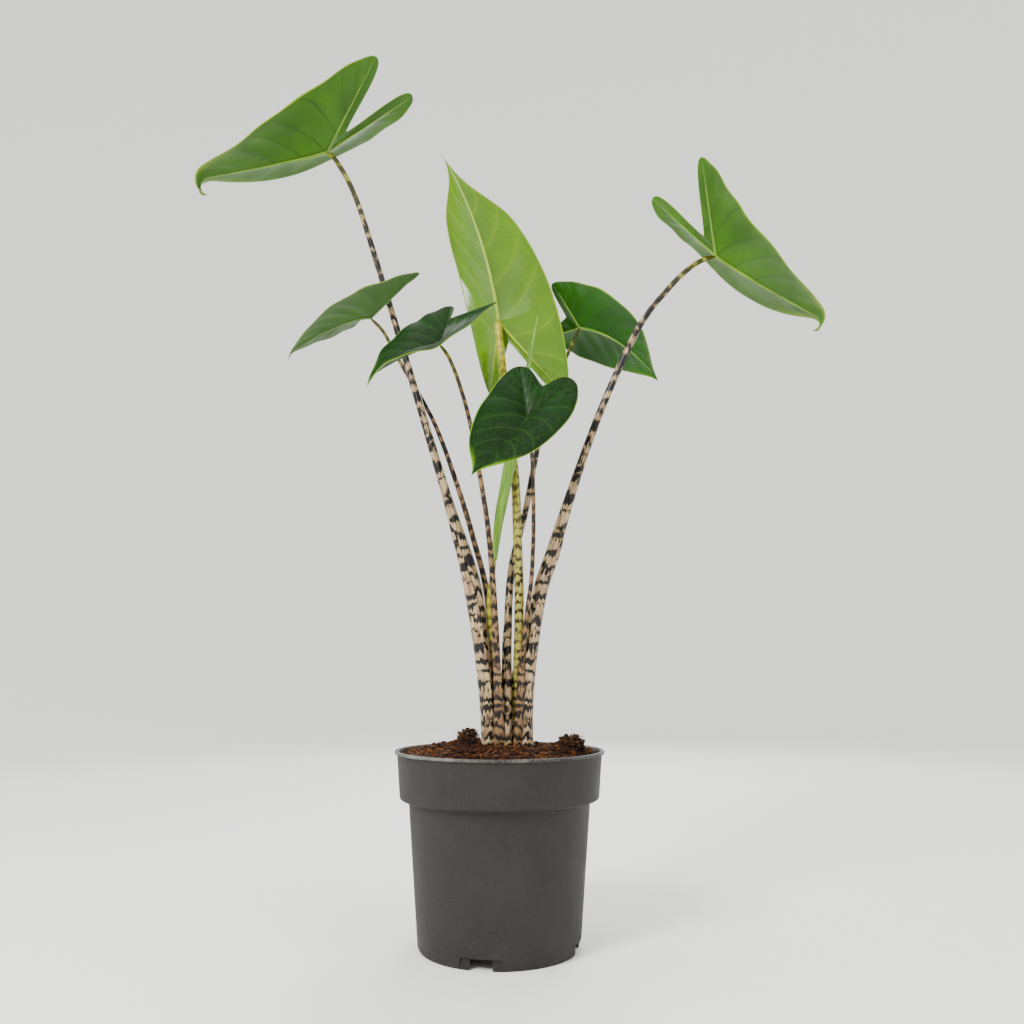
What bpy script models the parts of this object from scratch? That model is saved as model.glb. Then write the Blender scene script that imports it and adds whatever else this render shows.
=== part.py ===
"""Potted alocasia: eight arrow-leaf stalks with their blades in a nursery pot.

Metres, +Z up. The origin is the middle of the face that the pot stands on.
Leaf and stalk points are written in millimetres.
"""

from dataclasses import dataclass
import math

import bmesh
import bpy
from mathutils import Vector, noise

# ---------------------------------------------------------------- sizes
# pot, in metres
POT_HEIGHT = 0.1865
POT_RIM_RADIUS = 0.105
POT_FOOT_RADIUS = 0.0795
POT_WALL = 0.0016
BODY_TOP_RADIUS = 0.0903
COLLAR_RADIUS = 0.0992
COLLAR_DROP = 0.0465
LIP_REACH = 0.0025
LIP_DEPTH = 0.003
FLOOR_RISE = 0.012
FOOT_RING = 0.004
CENTRE_FOOT_RADIUS = 0.013
POT_SIDES = 32

# drain openings in the foot of the pot
DRAIN_COUNT = 4
DRAIN_TURN = math.radians(-11.5)
DRAIN_WIDTH = 0.021
DRAIN_HEIGHT = 0.0105
DRAIN_FACET_WIDTH = 0.042
DRAIN_FACET_DEPTH = 0.0015
FLOOR_HOLE_COUNT = 6
FLOOR_HOLE_RADIUS = 0.005
FLOOR_HOLE_CIRCLE = 0.046
FLOOR_HOLE_SIDES = 8

# soil and the stem under it
GAP = 0.0003
SOIL_EDGE_BELOW_RIM = 0.006
SOIL_CROWN = 0.009
SOIL_ROUGHNESS = 0.003
STEM_TOP_BELOW_RIM = 0.0365
STEM_LENGTH = 0.045
STEM_RADIUS = 0.031
STEM_CENTRE = (0.006, 0.002)

# leaves
BLADE_THICKNESS = 0.0010
BLADE_CAMBER = 0.07
BLADE_ROWS = 12
LOBE_ROWS = 7
OUTER_COLUMNS = 4
INNER_COLUMNS = 2
STALK_RINGS = 22
STALK_TOP_RADIUS = 0.0026
SMALL_STALK_TOP_RADIUS = 0.0018

SHEATH_SPREAD = 0.07
CURVE_STEPS = 24
WELD = 0.00002
COARSE_LUMPS = 0.024
FINE_LUMPS = 0.009

MM = 0.001


@dataclass(frozen=True)
class Stalk:
    """A leaf stalk: a tapered tube that stands on the stem under the soil."""

    name: str
    foot: tuple
    route: tuple
    foot_radius: float
    top_radius: float
    colour: tuple
    sheath_height: float = 0.0
    sheath_swell: float = 0.0


@dataclass(frozen=True)
class Blade:
    """An arrow-shaped blade through the points that set its outline.

    Left and right are as seen from the upper face with the tip ahead.
    """

    name: str
    joint: tuple
    middle: tuple
    tip: tuple
    lobe_right: tuple
    lobe_left: tuple
    side_right: tuple
    side_left: tuple
    flank_right: tuple
    flank_left: tuple
    sinus: tuple
    colour: tuple
    curl_length: float = 0.010
    curl_angle: float = 20.0
    tip_along_midrib: float = 0.5
    tail: float = 1.0
    lobe_roundness: float = 0.45
    end_right: tuple = ()
    end_left: tuple = ()


BANDED = (0.61, 0.48, 0.30, 1.0)
YELLOW_BANDED = (0.58, 0.56, 0.13, 1.0)

STALKS = (
    Stalk(
        "stalk_upper_left", (-10, 0),
        ((-13, 0, 235), (-27, -2, 347), (-55, -1, 442), (-90, 2, 557),
         (-127, 1, 678), (-158, -12, 774), (-179, -24, 813)),
        0.0062, STALK_TOP_RADIUS, BANDED, 0.345, 0.0035,
    ),
    Stalk(
        "stalk_upper_right", (27, -2),
        ((27, -3, 236), (39, -8, 336), (55, -12, 387), (82, -18, 470),
         (110, -22, 544), (148, -24, 625), (181, -25, 668), (203, -24, 690),
         (219, -23, 700)),
        0.0062, STALK_TOP_RADIUS, BANDED, 0.375, 0.0020,
    ),
    Stalk(
        "stalk_middle_left", (-3, 13),
        ((-5, 12, 235), (-13, 12, 338), (-28, 12, 401), (-48, 14, 466),
         (-73, 15, 532), (-108, 14, 594), (-128, 11, 630)),
        0.0042, SMALL_STALK_TOP_RADIUS, BANDED,
    ),
    Stalk(
        "stalk_centre_left", (-1, -10),
        ((-1, -11, 236), (-5, -19, 325), (-10, -27, 391), (-16, -33, 436),
         (-29, -45, 508), (-40, -52, 549), (-51, -58, 577)),
        0.0040, SMALL_STALK_TOP_RADIUS, BANDED,
    ),
    Stalk(
        "stalk_centre", (16, 7),
        ((18, 5, 235), (20, -1, 337), (18, -3, 409), (16, -5, 462),
         (9, -8, 526), (3, -8, 579), (-1, -6, 616)),
        0.0052, 0.0042, YELLOW_BANDED,
    ),
    Stalk(
        "stalk_front", (16, -8),
        ((20, -11, 236), (27, -16, 316), (32, -22, 355), (34, -33, 395),
         (34, -45, 430), (33, -58, 462), (31, -68, 485)),
        0.0028, SMALL_STALK_TOP_RADIUS, BANDED,
    ),
    Stalk(
        "stalk_right", (7, -5),
        ((8, -4, 236), (8, 1, 296), (12, 10, 369), (27, 13, 433),
         (40, 22, 501), (58, 38, 573), (75, 48, 617), (83, 52, 637)),
        0.0054, SMALL_STALK_TOP_RADIUS, BANDED,
    ),
    Stalk(
        "stalk_rolled_leaf", (0, 4),
        ((-1, 3, 235), (-7, 1, 286), (-11, -3, 331), (-6, -9, 377)),
        0.0030, 0.0026, YELLOW_BANDED,
    ),
)

BLADES = (
    Blade(
        "leaf_upper_left", joint=(-190, -25, 823), middle=(-258, -31, 802),
        tip=(-341, -35, 783), lobe_right=(-103, 23, 922), lobe_left=(-131, -73, 904),
        side_right=(-162, 36, 870), side_left=(-214, -88, 842),
        flank_right=(-260, 16, 813), flank_left=(-267, -76, 807),
        sinus=(-169, -30, 844), colour=(0.09, 0.21, 0.02, 1.0),
        curl_length=0.028, curl_angle=150.0, end_right=(-14, -20, 42),
        tip_along_midrib=-0.5, tail=0.8,
    ),
    Blade(
        "leaf_upper_right", joint=(232, -20, 705), middle=(282, -25, 667),
        tip=(351, -30, 623), lobe_right=(207, -82, 784), lobe_left=(175, 40, 803),
        side_right=(247, -88, 720), side_left=(218, 48, 749),
        flank_right=(291, -78, 668), flank_left=(287, 27, 670),
        sinus=(219, -24, 726), colour=(0.09, 0.21, 0.02, 1.0),
        curl_length=0.022, curl_angle=140.0, end_left=(16, -20, 40),
        tip_along_midrib=-0.5, tail=0.8,
    ),
    Blade(
        "leaf_middle_left", joint=(-142, 6, 645), middle=(-181, 5, 634),
        tip=(-234, 0, 599), lobe_right=(-139, 42, 672), lobe_left=(-85, -45, 675),
        side_right=(-172, 48, 649), side_left=(-152, -38, 657),
        flank_right=(-201, 36, 630), flank_left=(-197, -25, 630),
        sinus=(-135, 0, 658), colour=(0.07, 0.17, 0.04, 1.0),
        curl_length=0.015, curl_angle=50.0, lobe_roundness=0.25,
    ),
    Blade(
        "leaf_centre_left", joint=(-61, -60, 592), middle=(-93, -88, 569),
        tip=(-127, -120, 534), lobe_right=(-53, -25, 646), lobe_left=(-2, -75, 631),
        side_right=(-92, -40, 621), side_left=(-60, -98, 576),
        flank_right=(-116, -78, 580), flank_left=(-97, -125, 555),
        sinus=(-50, -58, 620), colour=(0.02, 0.09, 0.01, 1.0),
        curl_length=0.020, curl_angle=40.0, lobe_roundness=0.40,
    ),
    Blade(
        "leaf_centre", joint=(-2, 0, 638), middle=(-25, -5, 740),
        tip=(-67, 10, 841), lobe_right=(-11, 20, 562), lobe_left=(68, -10, 553),
        side_right=(-48, 40, 707), side_left=(61, 20, 668),
        flank_right=(-63, 32, 770), flank_left=(15, 15, 763),
        sinus=(9, 2, 616), colour=(0.26, 0.41, 0.03, 1.0),
        curl_length=0.012, curl_angle=30.0, tip_along_midrib=0.9, tail=1.7,
        lobe_roundness=0.40,
    ),
    Blade(
        "leaf_front", joint=(27, -75, 510), middle=(1, -100, 476),
        tip=(-25, -125, 443), lobe_right=(20, -54, 570), lobe_left=(72, -58, 556),
        side_right=(-17, -95, 519), side_left=(72, -80, 514),
        flank_right=(-28, -114, 480), flank_left=(29, -108, 467),
        sinus=(43, -63, 547), colour=(0.01, 0.08, 0.01, 1.0),
        tip_along_midrib=0.3, end_right=(44, -3, 2), end_left=(-34, 2, 18),
    ),
    Blade(
        "leaf_right", joint=(90, 55, 652), middle=(135, 50, 632),
        tip=(178, 45, 586), lobe_right=(59, 40, 700), lobe_left=(56, 85, 652),
        side_right=(111, 15, 682), side_left=(96, 92, 629),
        flank_right=(155, 18, 639), flank_left=(138, 80, 610),
        sinus=(75, 60, 667), colour=(0.03, 0.10, 0.01, 1.0),
        tip_along_midrib=0.3, lobe_roundness=0.50,
    ),
)

# which stalk carries which blade
CARRIES = {
    "stalk_upper_left": "leaf_upper_left",
    "stalk_upper_right": "leaf_upper_right",
    "stalk_middle_left": "leaf_middle_left",
    "stalk_centre_left": "leaf_centre_left",
    "stalk_centre": "leaf_centre",
    "stalk_front": "leaf_front",
    "stalk_right": "leaf_right",
}

# the young leaf, still rolled into a spike on its stalk: points and radii
SPIKE_ROUTE = ((-1, -14, 418), (7, -19, 459), (17, -22, 512), (30, -25, 580), (40, -28, 635))
SPIKE_RADII = (0.0029, 0.0055, 0.0065, 0.0060, 0.0026, 0.0007)
SPIKE_COLOUR = (0.30, 0.46, 0.13, 1.0)

# tufts of fibre in the soil: name, middle with its height over the rim, half sizes
TUFTS = (
    ("tuft_left", (-30, -42, 12.5), (14, 11, 14)),
    ("tuft_right", (69, -42, 8.5), (15, 10, 12)),
)
TUFT_LUMP_SIZE = 0.6
TUFT_LUMP_HEIGHT = 0.28


# ---------------------------------------------------------------- helpers
def point(p):
    """A point in millimetres as a vector in metres."""
    return Vector(p) * MM


def paint(obj, colour, roughness, metallic=0.0):
    """Give the object its own plain material."""
    material = bpy.data.materials.new(obj.name + "_finish")
    material.use_nodes = True
    shader = material.node_tree.nodes["Principled BSDF"]
    shader.inputs["Base Color"].default_value = colour
    shader.inputs["Roughness"].default_value = roughness
    shader.inputs["Metallic"].default_value = metallic
    obj.data.materials.append(material)


def new_object(name, data, home):
    """Link a new object that holds the mesh or curve."""
    obj = bpy.data.objects.new(name, data)
    home.objects.link(obj)
    return obj


def as_mesh(obj, home):
    """Replace an object by a plain welded mesh of its evaluated shape."""
    bpy.context.view_layer.update()
    evaluated = obj.evaluated_get(bpy.context.evaluated_depsgraph_get())
    mesh = bpy.data.meshes.new_from_object(evaluated)
    place = obj.matrix_world.copy()
    name = obj.name
    bpy.data.objects.remove(obj)
    solid = new_object(name, mesh, home)
    solid.matrix_world = place
    bm = bmesh.new()
    bm.from_mesh(mesh)
    bmesh.ops.remove_doubles(bm, verts=bm.verts, dist=WELD)
    bm.to_mesh(mesh)
    bm.free()
    return solid


def turned(name, profile, home):
    """Turn a profile of (radius, height) pairs round +Z."""
    mesh = bpy.data.meshes.new(name)
    verts = [(radius, 0.0, height) for radius, height in profile]
    edges = [(i, i + 1) for i in range(len(verts) - 1)]
    mesh.from_pydata(verts, edges, [])
    obj = new_object(name, mesh, home)
    screw = obj.modifiers.new("turn", "SCREW")
    screw.axis = "Z"
    screw.steps = POT_SIDES
    screw.render_steps = POT_SIDES
    screw.use_merge_vertices = True
    screw.merge_threshold = 0.00005
    return obj


def smooth_route(points, count):
    """Evenly spaced points on a smooth curve through the given points."""
    ends = [2 * points[0] - points[1]] + points + [2 * points[-1] - points[-2]]
    fine = []
    for i in range(1, len(ends) - 2):
        a, b, c, d = ends[i - 1:i + 3]
        for k in range(CURVE_STEPS):
            u = k / CURVE_STEPS
            fine.append(
                0.5 * (2 * b + (c - a) * u + (2 * a - 5 * b + 4 * c - d) * u ** 2
                       + (3 * b - a - 3 * c + d) * u ** 3)
            )
    fine.append(points[-1].copy())
    lengths = [0.0]
    for a, b in zip(fine, fine[1:]):
        lengths.append(lengths[-1] + (b - a).length)
    route = []
    k = 0
    for i in range(count):
        goal = lengths[-1] * i / (count - 1)
        while k < len(fine) - 2 and lengths[k + 1] < goal:
            k += 1
        share = (goal - lengths[k]) / (lengths[k + 1] - lengths[k])
        route.append(fine[k].lerp(fine[k + 1], min(share, 1.0)))
    return route


def tube(name, route, radii, home):
    """A closed tube along a route, with its own radius at each point."""
    curve = bpy.data.curves.new(name, "CURVE")
    curve.dimensions = "3D"
    curve.bevel_depth = 1.0
    curve.bevel_resolution = 2
    curve.use_fill_caps = True
    curve.render_resolution_u = 0
    spline = curve.splines.new("POLY")
    spline.points.add(len(route) - 1)
    for spot, place, radius in zip(spline.points, route, radii):
        spot.co = (*place, 1.0)
        spot.radius = radius
    return as_mesh(new_object(name, curve, home), home)


def cut(target, cutter):
    """Take the cutter's shape out of the target."""
    boolean = target.modifiers.new("cut_" + cutter.name, "BOOLEAN")
    boolean.operation = "DIFFERENCE"
    boolean.solver = "EXACT"
    boolean.object = cutter
    cutter.hide_render = True
    cutter.display_type = "WIRE"


def box_cutter(name, size, place, turn, home):
    """A box of the given size, turned about +Z, to cut with."""
    bpy.ops.mesh.primitive_cube_add(size=1.0, location=place, rotation=(0.0, 0.0, turn))
    obj = bpy.context.active_object
    obj.name = name
    for corner in obj.data.vertices:
        corner.co = Vector(a * b for a, b in zip(corner.co, size))
    for old in list(obj.users_collection):
        old.objects.unlink(obj)
    home.objects.link(obj)
    return obj


# ---------------------------------------------------------------- pot
def pot_inside():
    """The pot's inner line, from the middle of the floor out and up to the rim."""
    collar_foot = POT_HEIGHT - COLLAR_DROP
    floor_top = FLOOR_RISE + POT_WALL
    share = floor_top / collar_foot
    floor_radius = POT_FOOT_RADIUS + (BODY_TOP_RADIUS - POT_FOOT_RADIUS) * share
    return [
        (0.0, POT_WALL),
        (CENTRE_FOOT_RADIUS - POT_WALL, POT_WALL),
        (CENTRE_FOOT_RADIUS + POT_WALL, floor_top),
        (floor_radius - 1.5 * POT_WALL, floor_top),
        (floor_radius - POT_WALL, floor_top + 0.5 * POT_WALL),
        (BODY_TOP_RADIUS - POT_WALL, collar_foot - POT_WALL),
        (COLLAR_RADIUS - POT_WALL, collar_foot + POT_WALL),
        (POT_RIM_RADIUS - LIP_REACH - POT_WALL, POT_HEIGHT - 0.5 * POT_WALL),
    ]


def pot_outside():
    """The pot's outer line, from the rim down and in to the middle of the foot."""
    collar_foot = POT_HEIGHT - COLLAR_DROP
    rounding = 0.4 * POT_WALL
    foot_inner = POT_FOOT_RADIUS - FOOT_RING
    return [
        (POT_RIM_RADIUS - LIP_REACH - 0.5 * POT_WALL, POT_HEIGHT),
        (POT_RIM_RADIUS - rounding, POT_HEIGHT),
        (POT_RIM_RADIUS, POT_HEIGHT - rounding),
        (POT_RIM_RADIUS, POT_HEIGHT - LIP_DEPTH + rounding),
        (POT_RIM_RADIUS - rounding, POT_HEIGHT - LIP_DEPTH),
        (POT_RIM_RADIUS - LIP_REACH, POT_HEIGHT - LIP_DEPTH - rounding),
        (COLLAR_RADIUS, collar_foot + POT_WALL),
        (COLLAR_RADIUS - POT_WALL, collar_foot),
        (BODY_TOP_RADIUS, collar_foot - 0.5 * POT_WALL),
        (POT_FOOT_RADIUS, 2.0 * POT_WALL),
        (POT_FOOT_RADIUS - 1.2 * POT_WALL, 0.0),
        (foot_inner, 0.0),
        (foot_inner, FLOOR_RISE),
        (CENTRE_FOOT_RADIUS + 1.6 * POT_WALL, FLOOR_RISE),
        (CENTRE_FOOT_RADIUS, 0.0),
        (0.0, 0.0),
    ]


def make_pot(home, cutters):
    """The pot: one moulding with drain openings in its foot and floor."""
    pot = turned("pot", pot_inside() + pot_outside(), home)
    pot = as_mesh(pot, home)
    reach = 4.0 * FOOT_RING
    for i in range(DRAIN_COUNT):
        turn = DRAIN_TURN + 2.0 * math.pi * i / DRAIN_COUNT
        outward = Vector((math.sin(turn), -math.cos(turn), 0.0))
        opening = box_cutter(
            f"drain_{i}", (DRAIN_WIDTH, reach, 2.0 * DRAIN_HEIGHT),
            outward * POT_FOOT_RADIUS, turn, cutters,
        )
        cut(pot, opening)
        half = 0.5 * DRAIN_FACET_WIDTH
        chord = math.sqrt(POT_FOOT_RADIUS ** 2 - half ** 2)
        facet_face = max(chord, POT_FOOT_RADIUS - 0.5 * FOOT_RING) - DRAIN_FACET_DEPTH
        facet = box_cutter(
            f"drain_facet_{i}", (DRAIN_FACET_WIDTH, reach, 2.1 * DRAIN_HEIGHT),
            outward * (facet_face + 0.5 * reach), turn, cutters,
        )
        cut(pot, facet)
    for i in range(FLOOR_HOLE_COUNT):
        turn = 2.0 * math.pi * (i + 0.5) / FLOOR_HOLE_COUNT
        bpy.ops.mesh.primitive_cylinder_add(
            vertices=FLOOR_HOLE_SIDES, radius=FLOOR_HOLE_RADIUS, depth=6.0 * POT_WALL,
            location=(
                FLOOR_HOLE_CIRCLE * math.sin(turn),
                FLOOR_HOLE_CIRCLE * math.cos(turn),
                FLOOR_RISE,
            ),
        )
        hole = bpy.context.active_object
        hole.name = f"floor_hole_{i}"
        for old in list(hole.users_collection):
            old.objects.unlink(hole)
        cutters.objects.link(hole)
        cut(pot, hole)
    paint(pot, (0.090, 0.083, 0.074, 1.0), 0.55)
    return pot


# ---------------------------------------------------------------- soil and stem
def stem_profile(grow):
    """The underground stem's outline from its top to its foot, grown by a gap."""
    top = POT_HEIGHT - STEM_TOP_BELOW_RIM
    return [
        (0.0, top + grow),
        (STEM_RADIUS + grow, top + grow),
        (STEM_RADIUS + grow, top - 0.15 * STEM_LENGTH),
        (0.80 * STEM_RADIUS + grow, top - 0.55 * STEM_LENGTH),
        (0.45 * STEM_RADIUS + grow, top - STEM_LENGTH - grow),
        (0.0, top - STEM_LENGTH - grow),
    ]


def make_stem(name, grow, home):
    """The short thick stem on which all the stalks stand."""
    stem = turned(name, stem_profile(grow), home)
    stem.location = (*STEM_CENTRE, 0.0)
    return as_mesh(stem, home)


def make_tuft(name, middle, half_sizes, grow, home):
    """A lumpy tuft of fibre, grown by a gap when it is used to cut."""
    mesh = bpy.data.meshes.new(name)
    bm = bmesh.new()
    bmesh.ops.create_icosphere(bm, subdivisions=2, radius=1.0)
    for vert in bm.verts:
        lump = 1.0 + TUFT_LUMP_HEIGHT * noise.noise(vert.co / TUFT_LUMP_SIZE + Vector(middle))
        stretch = Vector(size * MM * lump + grow for size in half_sizes)
        vert.co = Vector(a * b for a, b in zip(vert.co, stretch))
    bm.to_mesh(mesh)
    bm.free()
    tuft = new_object(name, mesh, home)
    tuft.location = point(middle) + Vector((0.0, 0.0, POT_HEIGHT))
    return tuft


def soil_surface(radius, height, x, y):
    """Height of the rough soil top over a turned dome."""
    coarse = noise.noise(Vector((x, y, 0.0)) / COARSE_LUMPS)
    fine = noise.noise(Vector((x, y, 0.7)) / FINE_LUMPS)
    fade = min(1.0, max(0.0, (0.95 * COLLAR_RADIUS - radius) / 0.02))
    return height + SOIL_ROUGHNESS * fade * (coarse + 0.5 * fine)


def make_soil(cutting, home):
    """The root ball: soil that fills the pot, with room for what stands in it."""
    edge = POT_HEIGHT - SOIL_EDGE_BELOW_RIM
    inside = [(max(r - GAP, 0.0), z + GAP) for r, z in pot_inside()[:-1]]
    (low_r, low_z), (top_r, top_z) = inside[-1], pot_inside()[-1]
    share = (edge - low_z) / (top_z - low_z)
    edge_radius = low_r + (top_r - GAP - low_r) * share
    rings = 9
    dome = [
        (edge_radius * i / rings, edge + SOIL_CROWN * (1.0 - (i / rings) ** 3))
        for i in range(rings)
    ]
    profile = dome + [(edge_radius, edge)] + inside[::-1]
    soil = as_mesh(turned("soil", profile, home), home)
    for vert in soil.data.vertices:
        radius = math.hypot(vert.co.x, vert.co.y)
        if vert.co.z > edge + 0.0001:
            vert.co.z = soil_surface(radius, vert.co.z, vert.co.x, vert.co.y)
    for cutter in cutting:
        cut(soil, cutter)
    paint(soil, (0.10, 0.04, 0.015, 1.0), 0.95)
    return soil


# ---------------------------------------------------------------- leaves
def hermite(start, start_slope, end, end_slope, u):
    """A point on the cubic between two ends with the given slopes."""
    return (
        (2 * u ** 3 - 3 * u ** 2 + 1) * start
        + (u ** 3 - 2 * u ** 2 + u) * start_slope
        + (3 * u ** 2 - 2 * u ** 3) * end
        + (u ** 3 - u ** 2) * end_slope
    )


def upper_normal(blade):
    """The direction that the blade's upper face looks in at the joint."""
    across = point(blade.side_right) - point(blade.side_left)
    lobes = 0.5 * (point(blade.lobe_right) + point(blade.lobe_left))
    return across.cross(point(blade.tip) - lobes).normalized()


class BladeHalf:
    """One half of a blade: its rib, its outer margin and its sinus margin."""

    def __init__(self, blade, right):
        self.joint = point(blade.joint)
        self.middle = point(blade.middle)
        self.tip = point(blade.tip)
        self.lobe = point(blade.lobe_right if right else blade.lobe_left)
        self.side = point(blade.side_right if right else blade.side_left)
        self.flank = point(blade.flank_right if right else blade.flank_left)
        self.sinus = point(blade.sinus)
        self.bow = 2 * self.middle - 0.5 * (self.joint + self.tip)
        self.normal = upper_normal(blade)
        self.blend = blade.tip_along_midrib
        self.tail = blade.tail
        rib = self.lobe - self.joint
        inward = self.joint - self.side
        inward = inward - rib.normalized() * inward.dot(rib.normalized())
        self.turn = inward.normalized() * blade.lobe_roundness * rib.length
        blunt_end = blade.end_right if right else blade.end_left
        if blunt_end:
            self.turn = point(blunt_end)

    def rib(self, along):
        """The midrib for 0 to 1, the lobe's rib for 0 to -1."""
        if along < 0.0:
            return self.joint.lerp(self.lobe, -along)
        rest = 1.0 - along
        return rest ** 2 * self.joint + 2 * along * rest * self.bow + along ** 2 * self.tip

    def outer_margin(self, along):
        """The margin from the lobe's end (-1) past the side (0) to the tip (1)."""
        to_flank = (self.flank - self.side).length
        to_tip = (self.tip - self.flank).length
        heading = (self.flank - self.lobe).normalized()
        if along < 0.0:
            to_lobe = (self.lobe - self.side).length
            return hermite(self.side, -heading * to_lobe, self.lobe, self.turn, -along)
        passing = (self.tip - self.side).normalized() * 0.5 * (to_flank + to_tip)
        if along < 0.5:
            return hermite(self.side, heading * to_flank, self.flank, passing, 2 * along)
        chord = (self.tip - self.side).normalized()
        midrib_end = (self.tip - self.bow).normalized()
        ending = chord.lerp(midrib_end, self.blend).normalized() * to_tip * self.tail
        return hermite(self.flank, passing, self.tip, ending, 2 * along - 1)

    def sinus_margin(self, share):
        """The margin from the sinus (0) to the lobe's end (1)."""
        return hermite(self.sinus, 0.9 * (self.lobe - self.sinus), self.lobe, -self.turn, share)

    def surface(self, along, across):
        """A point of the half: across is 1 at the outer margin, -1 at the sinus."""
        spine = self.rib(along)
        if across >= 0.0:
            margin = self.outer_margin(along)
        else:
            margin = self.sinus_margin(-along)
        share = abs(across)
        swell = BLADE_CAMBER * (margin - spine).length * 4.0 * share * (1.0 - share)
        return spine.lerp(margin, share) + self.normal * swell


def curl_tip(blade, spot):
    """Roll the last stretch of the blade towards its under side."""
    half = BladeHalf(blade, True)
    forward = (half.tip - half.bow).normalized()
    length = blade.curl_length
    start = half.tip - forward * length
    travel = (spot - start).dot(forward)
    if travel <= 0.0:
        return spot
    down = -half.normal
    down = (down - forward * down.dot(forward)).normalized()
    angle = math.radians(blade.curl_angle) * travel / length
    radius = length / math.radians(blade.curl_angle)
    drop = (spot - start).dot(down)
    aside = spot - start - forward * travel - down * drop
    centred = (radius - drop) * math.sin(angle), radius - (radius - drop) * math.cos(angle)
    return start + aside + forward * centred[0] + down * centred[1]


def make_blade(blade, home):
    """A thin blade: both halves as one sheet with thickness."""
    mesh = bpy.data.meshes.new(blade.name)
    bm = bmesh.new()
    for right in (True, False):
        half = BladeHalf(blade, right)
        strips = [
            [i / BLADE_ROWS for i in range(BLADE_ROWS + 1)],
            [-i / LOBE_ROWS for i in range(LOBE_ROWS + 1)],
        ]
        sheets = [(strips[0], OUTER_COLUMNS, 1.0), (strips[1], OUTER_COLUMNS, 1.0)]
        sheets.append((strips[1], INNER_COLUMNS, -1.0))
        for rows, columns, side in sheets:
            grid = [
                [
                    bm.verts.new(curl_tip(blade, half.surface(a, side * c / columns)))
                    for c in range(columns + 1)
                ]
                for a in rows
            ]
            for near, far in zip(grid, grid[1:]):
                for c in range(columns):
                    bm.faces.new((near[c], near[c + 1], far[c + 1], far[c]))
    bmesh.ops.remove_doubles(bm, verts=bm.verts, dist=0.0002)
    bmesh.ops.dissolve_degenerate(bm, edges=bm.edges, dist=0.0001)
    bmesh.ops.recalc_face_normals(bm, faces=bm.faces)
    bm.to_mesh(mesh)
    bm.free()
    obj = new_object(blade.name, mesh, home)
    sheet = obj.modifiers.new("thickness", "SOLIDIFY")
    sheet.thickness = BLADE_THICKNESS
    sheet.offset = 0.0
    paint(obj, blade.colour, 0.40)
    return obj


def stalk_top(stalk):
    """Where the stalk ends: just under the blade's joint, or its last point."""
    last = point(stalk.route[-1])
    if stalk.name not in CARRIES:
        return last
    blade = next(b for b in BLADES if b.name == CARRIES[stalk.name])
    joint = point(blade.joint)
    heading = (joint - last).normalized()
    under = upper_normal(blade)
    tilt = heading.dot(under)
    room = 0.5 * BLADE_THICKNESS + GAP + stalk.top_radius * math.sqrt(1.0 - tilt ** 2)
    return joint - under * room


def stalk_route(stalk, foot_height):
    """The stalk's smooth centre line from a height under the soil to the blade."""
    points = [Vector((stalk.foot[0] * MM, stalk.foot[1] * MM, foot_height))]
    points += [point(p) for p in stalk.route]
    if stalk.name in CARRIES:
        points.append(stalk_top(stalk))
    return smooth_route(points, STALK_RINGS)


def stalk_radii(stalk, route):
    """The stalk's radius at each point of its route, with the sheath's swell."""
    radii = []
    last = len(route) - 1
    for i, spot in enumerate(route):
        share = i / last
        radius = stalk.foot_radius + (stalk.top_radius - stalk.foot_radius) * share
        if stalk.sheath_swell > 0.0:
            off = (spot.z - stalk.sheath_height) / SHEATH_SPREAD
            radius += stalk.sheath_swell * math.exp(-off * off)
        radii.append(radius)
    return radii


def make_stalk(stalk, home):
    """A stalk that stands on the stem and reaches its blade."""
    seat = POT_HEIGHT - STEM_TOP_BELOW_RIM + GAP
    route = stalk_route(stalk, seat)
    obj = tube(stalk.name, route, stalk_radii(stalk, route), home)
    paint(obj, stalk.colour, 0.45)
    return obj


def make_stalk_cutter(stalk, home):
    """The room that a stalk takes up in the soil."""
    seat = POT_HEIGHT - STEM_TOP_BELOW_RIM + GAP
    route = stalk_route(stalk, seat)
    radii = stalk_radii(stalk, route)
    low = [spot for spot in route if spot.z < POT_HEIGHT + 0.07]
    room = [radius + 1.4 * GAP for radius in radii[:len(low)]]
    low[0] = low[0] - Vector((0.0, 0.0, 5.0 * GAP))
    return tube("room_" + stalk.name, low, room, home)


def make_spike(home):
    """The young leaf, rolled into a spike that ends its stalk."""
    points = [point(p) for p in SPIKE_ROUTE]
    carrier = next(stalk for stalk in STALKS if stalk.name == "stalk_rolled_leaf")
    foot = point(carrier.route[-1])
    points.insert(0, foot + (points[0] - foot).normalized() * 2.0 * GAP)
    route = smooth_route(points, STALK_RINGS)
    radii = []
    for i in range(STALK_RINGS):
        spot = (len(SPIKE_RADII) - 1) * i / (STALK_RINGS - 1)
        k = min(int(spot), len(SPIKE_RADII) - 2)
        radii.append(SPIKE_RADII[k] + (SPIKE_RADII[k + 1] - SPIKE_RADII[k]) * (spot - k))
    spike = tube("leaf_rolled", route, radii, home)
    paint(spike, SPIKE_COLOUR, 0.40)
    return spike


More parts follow.
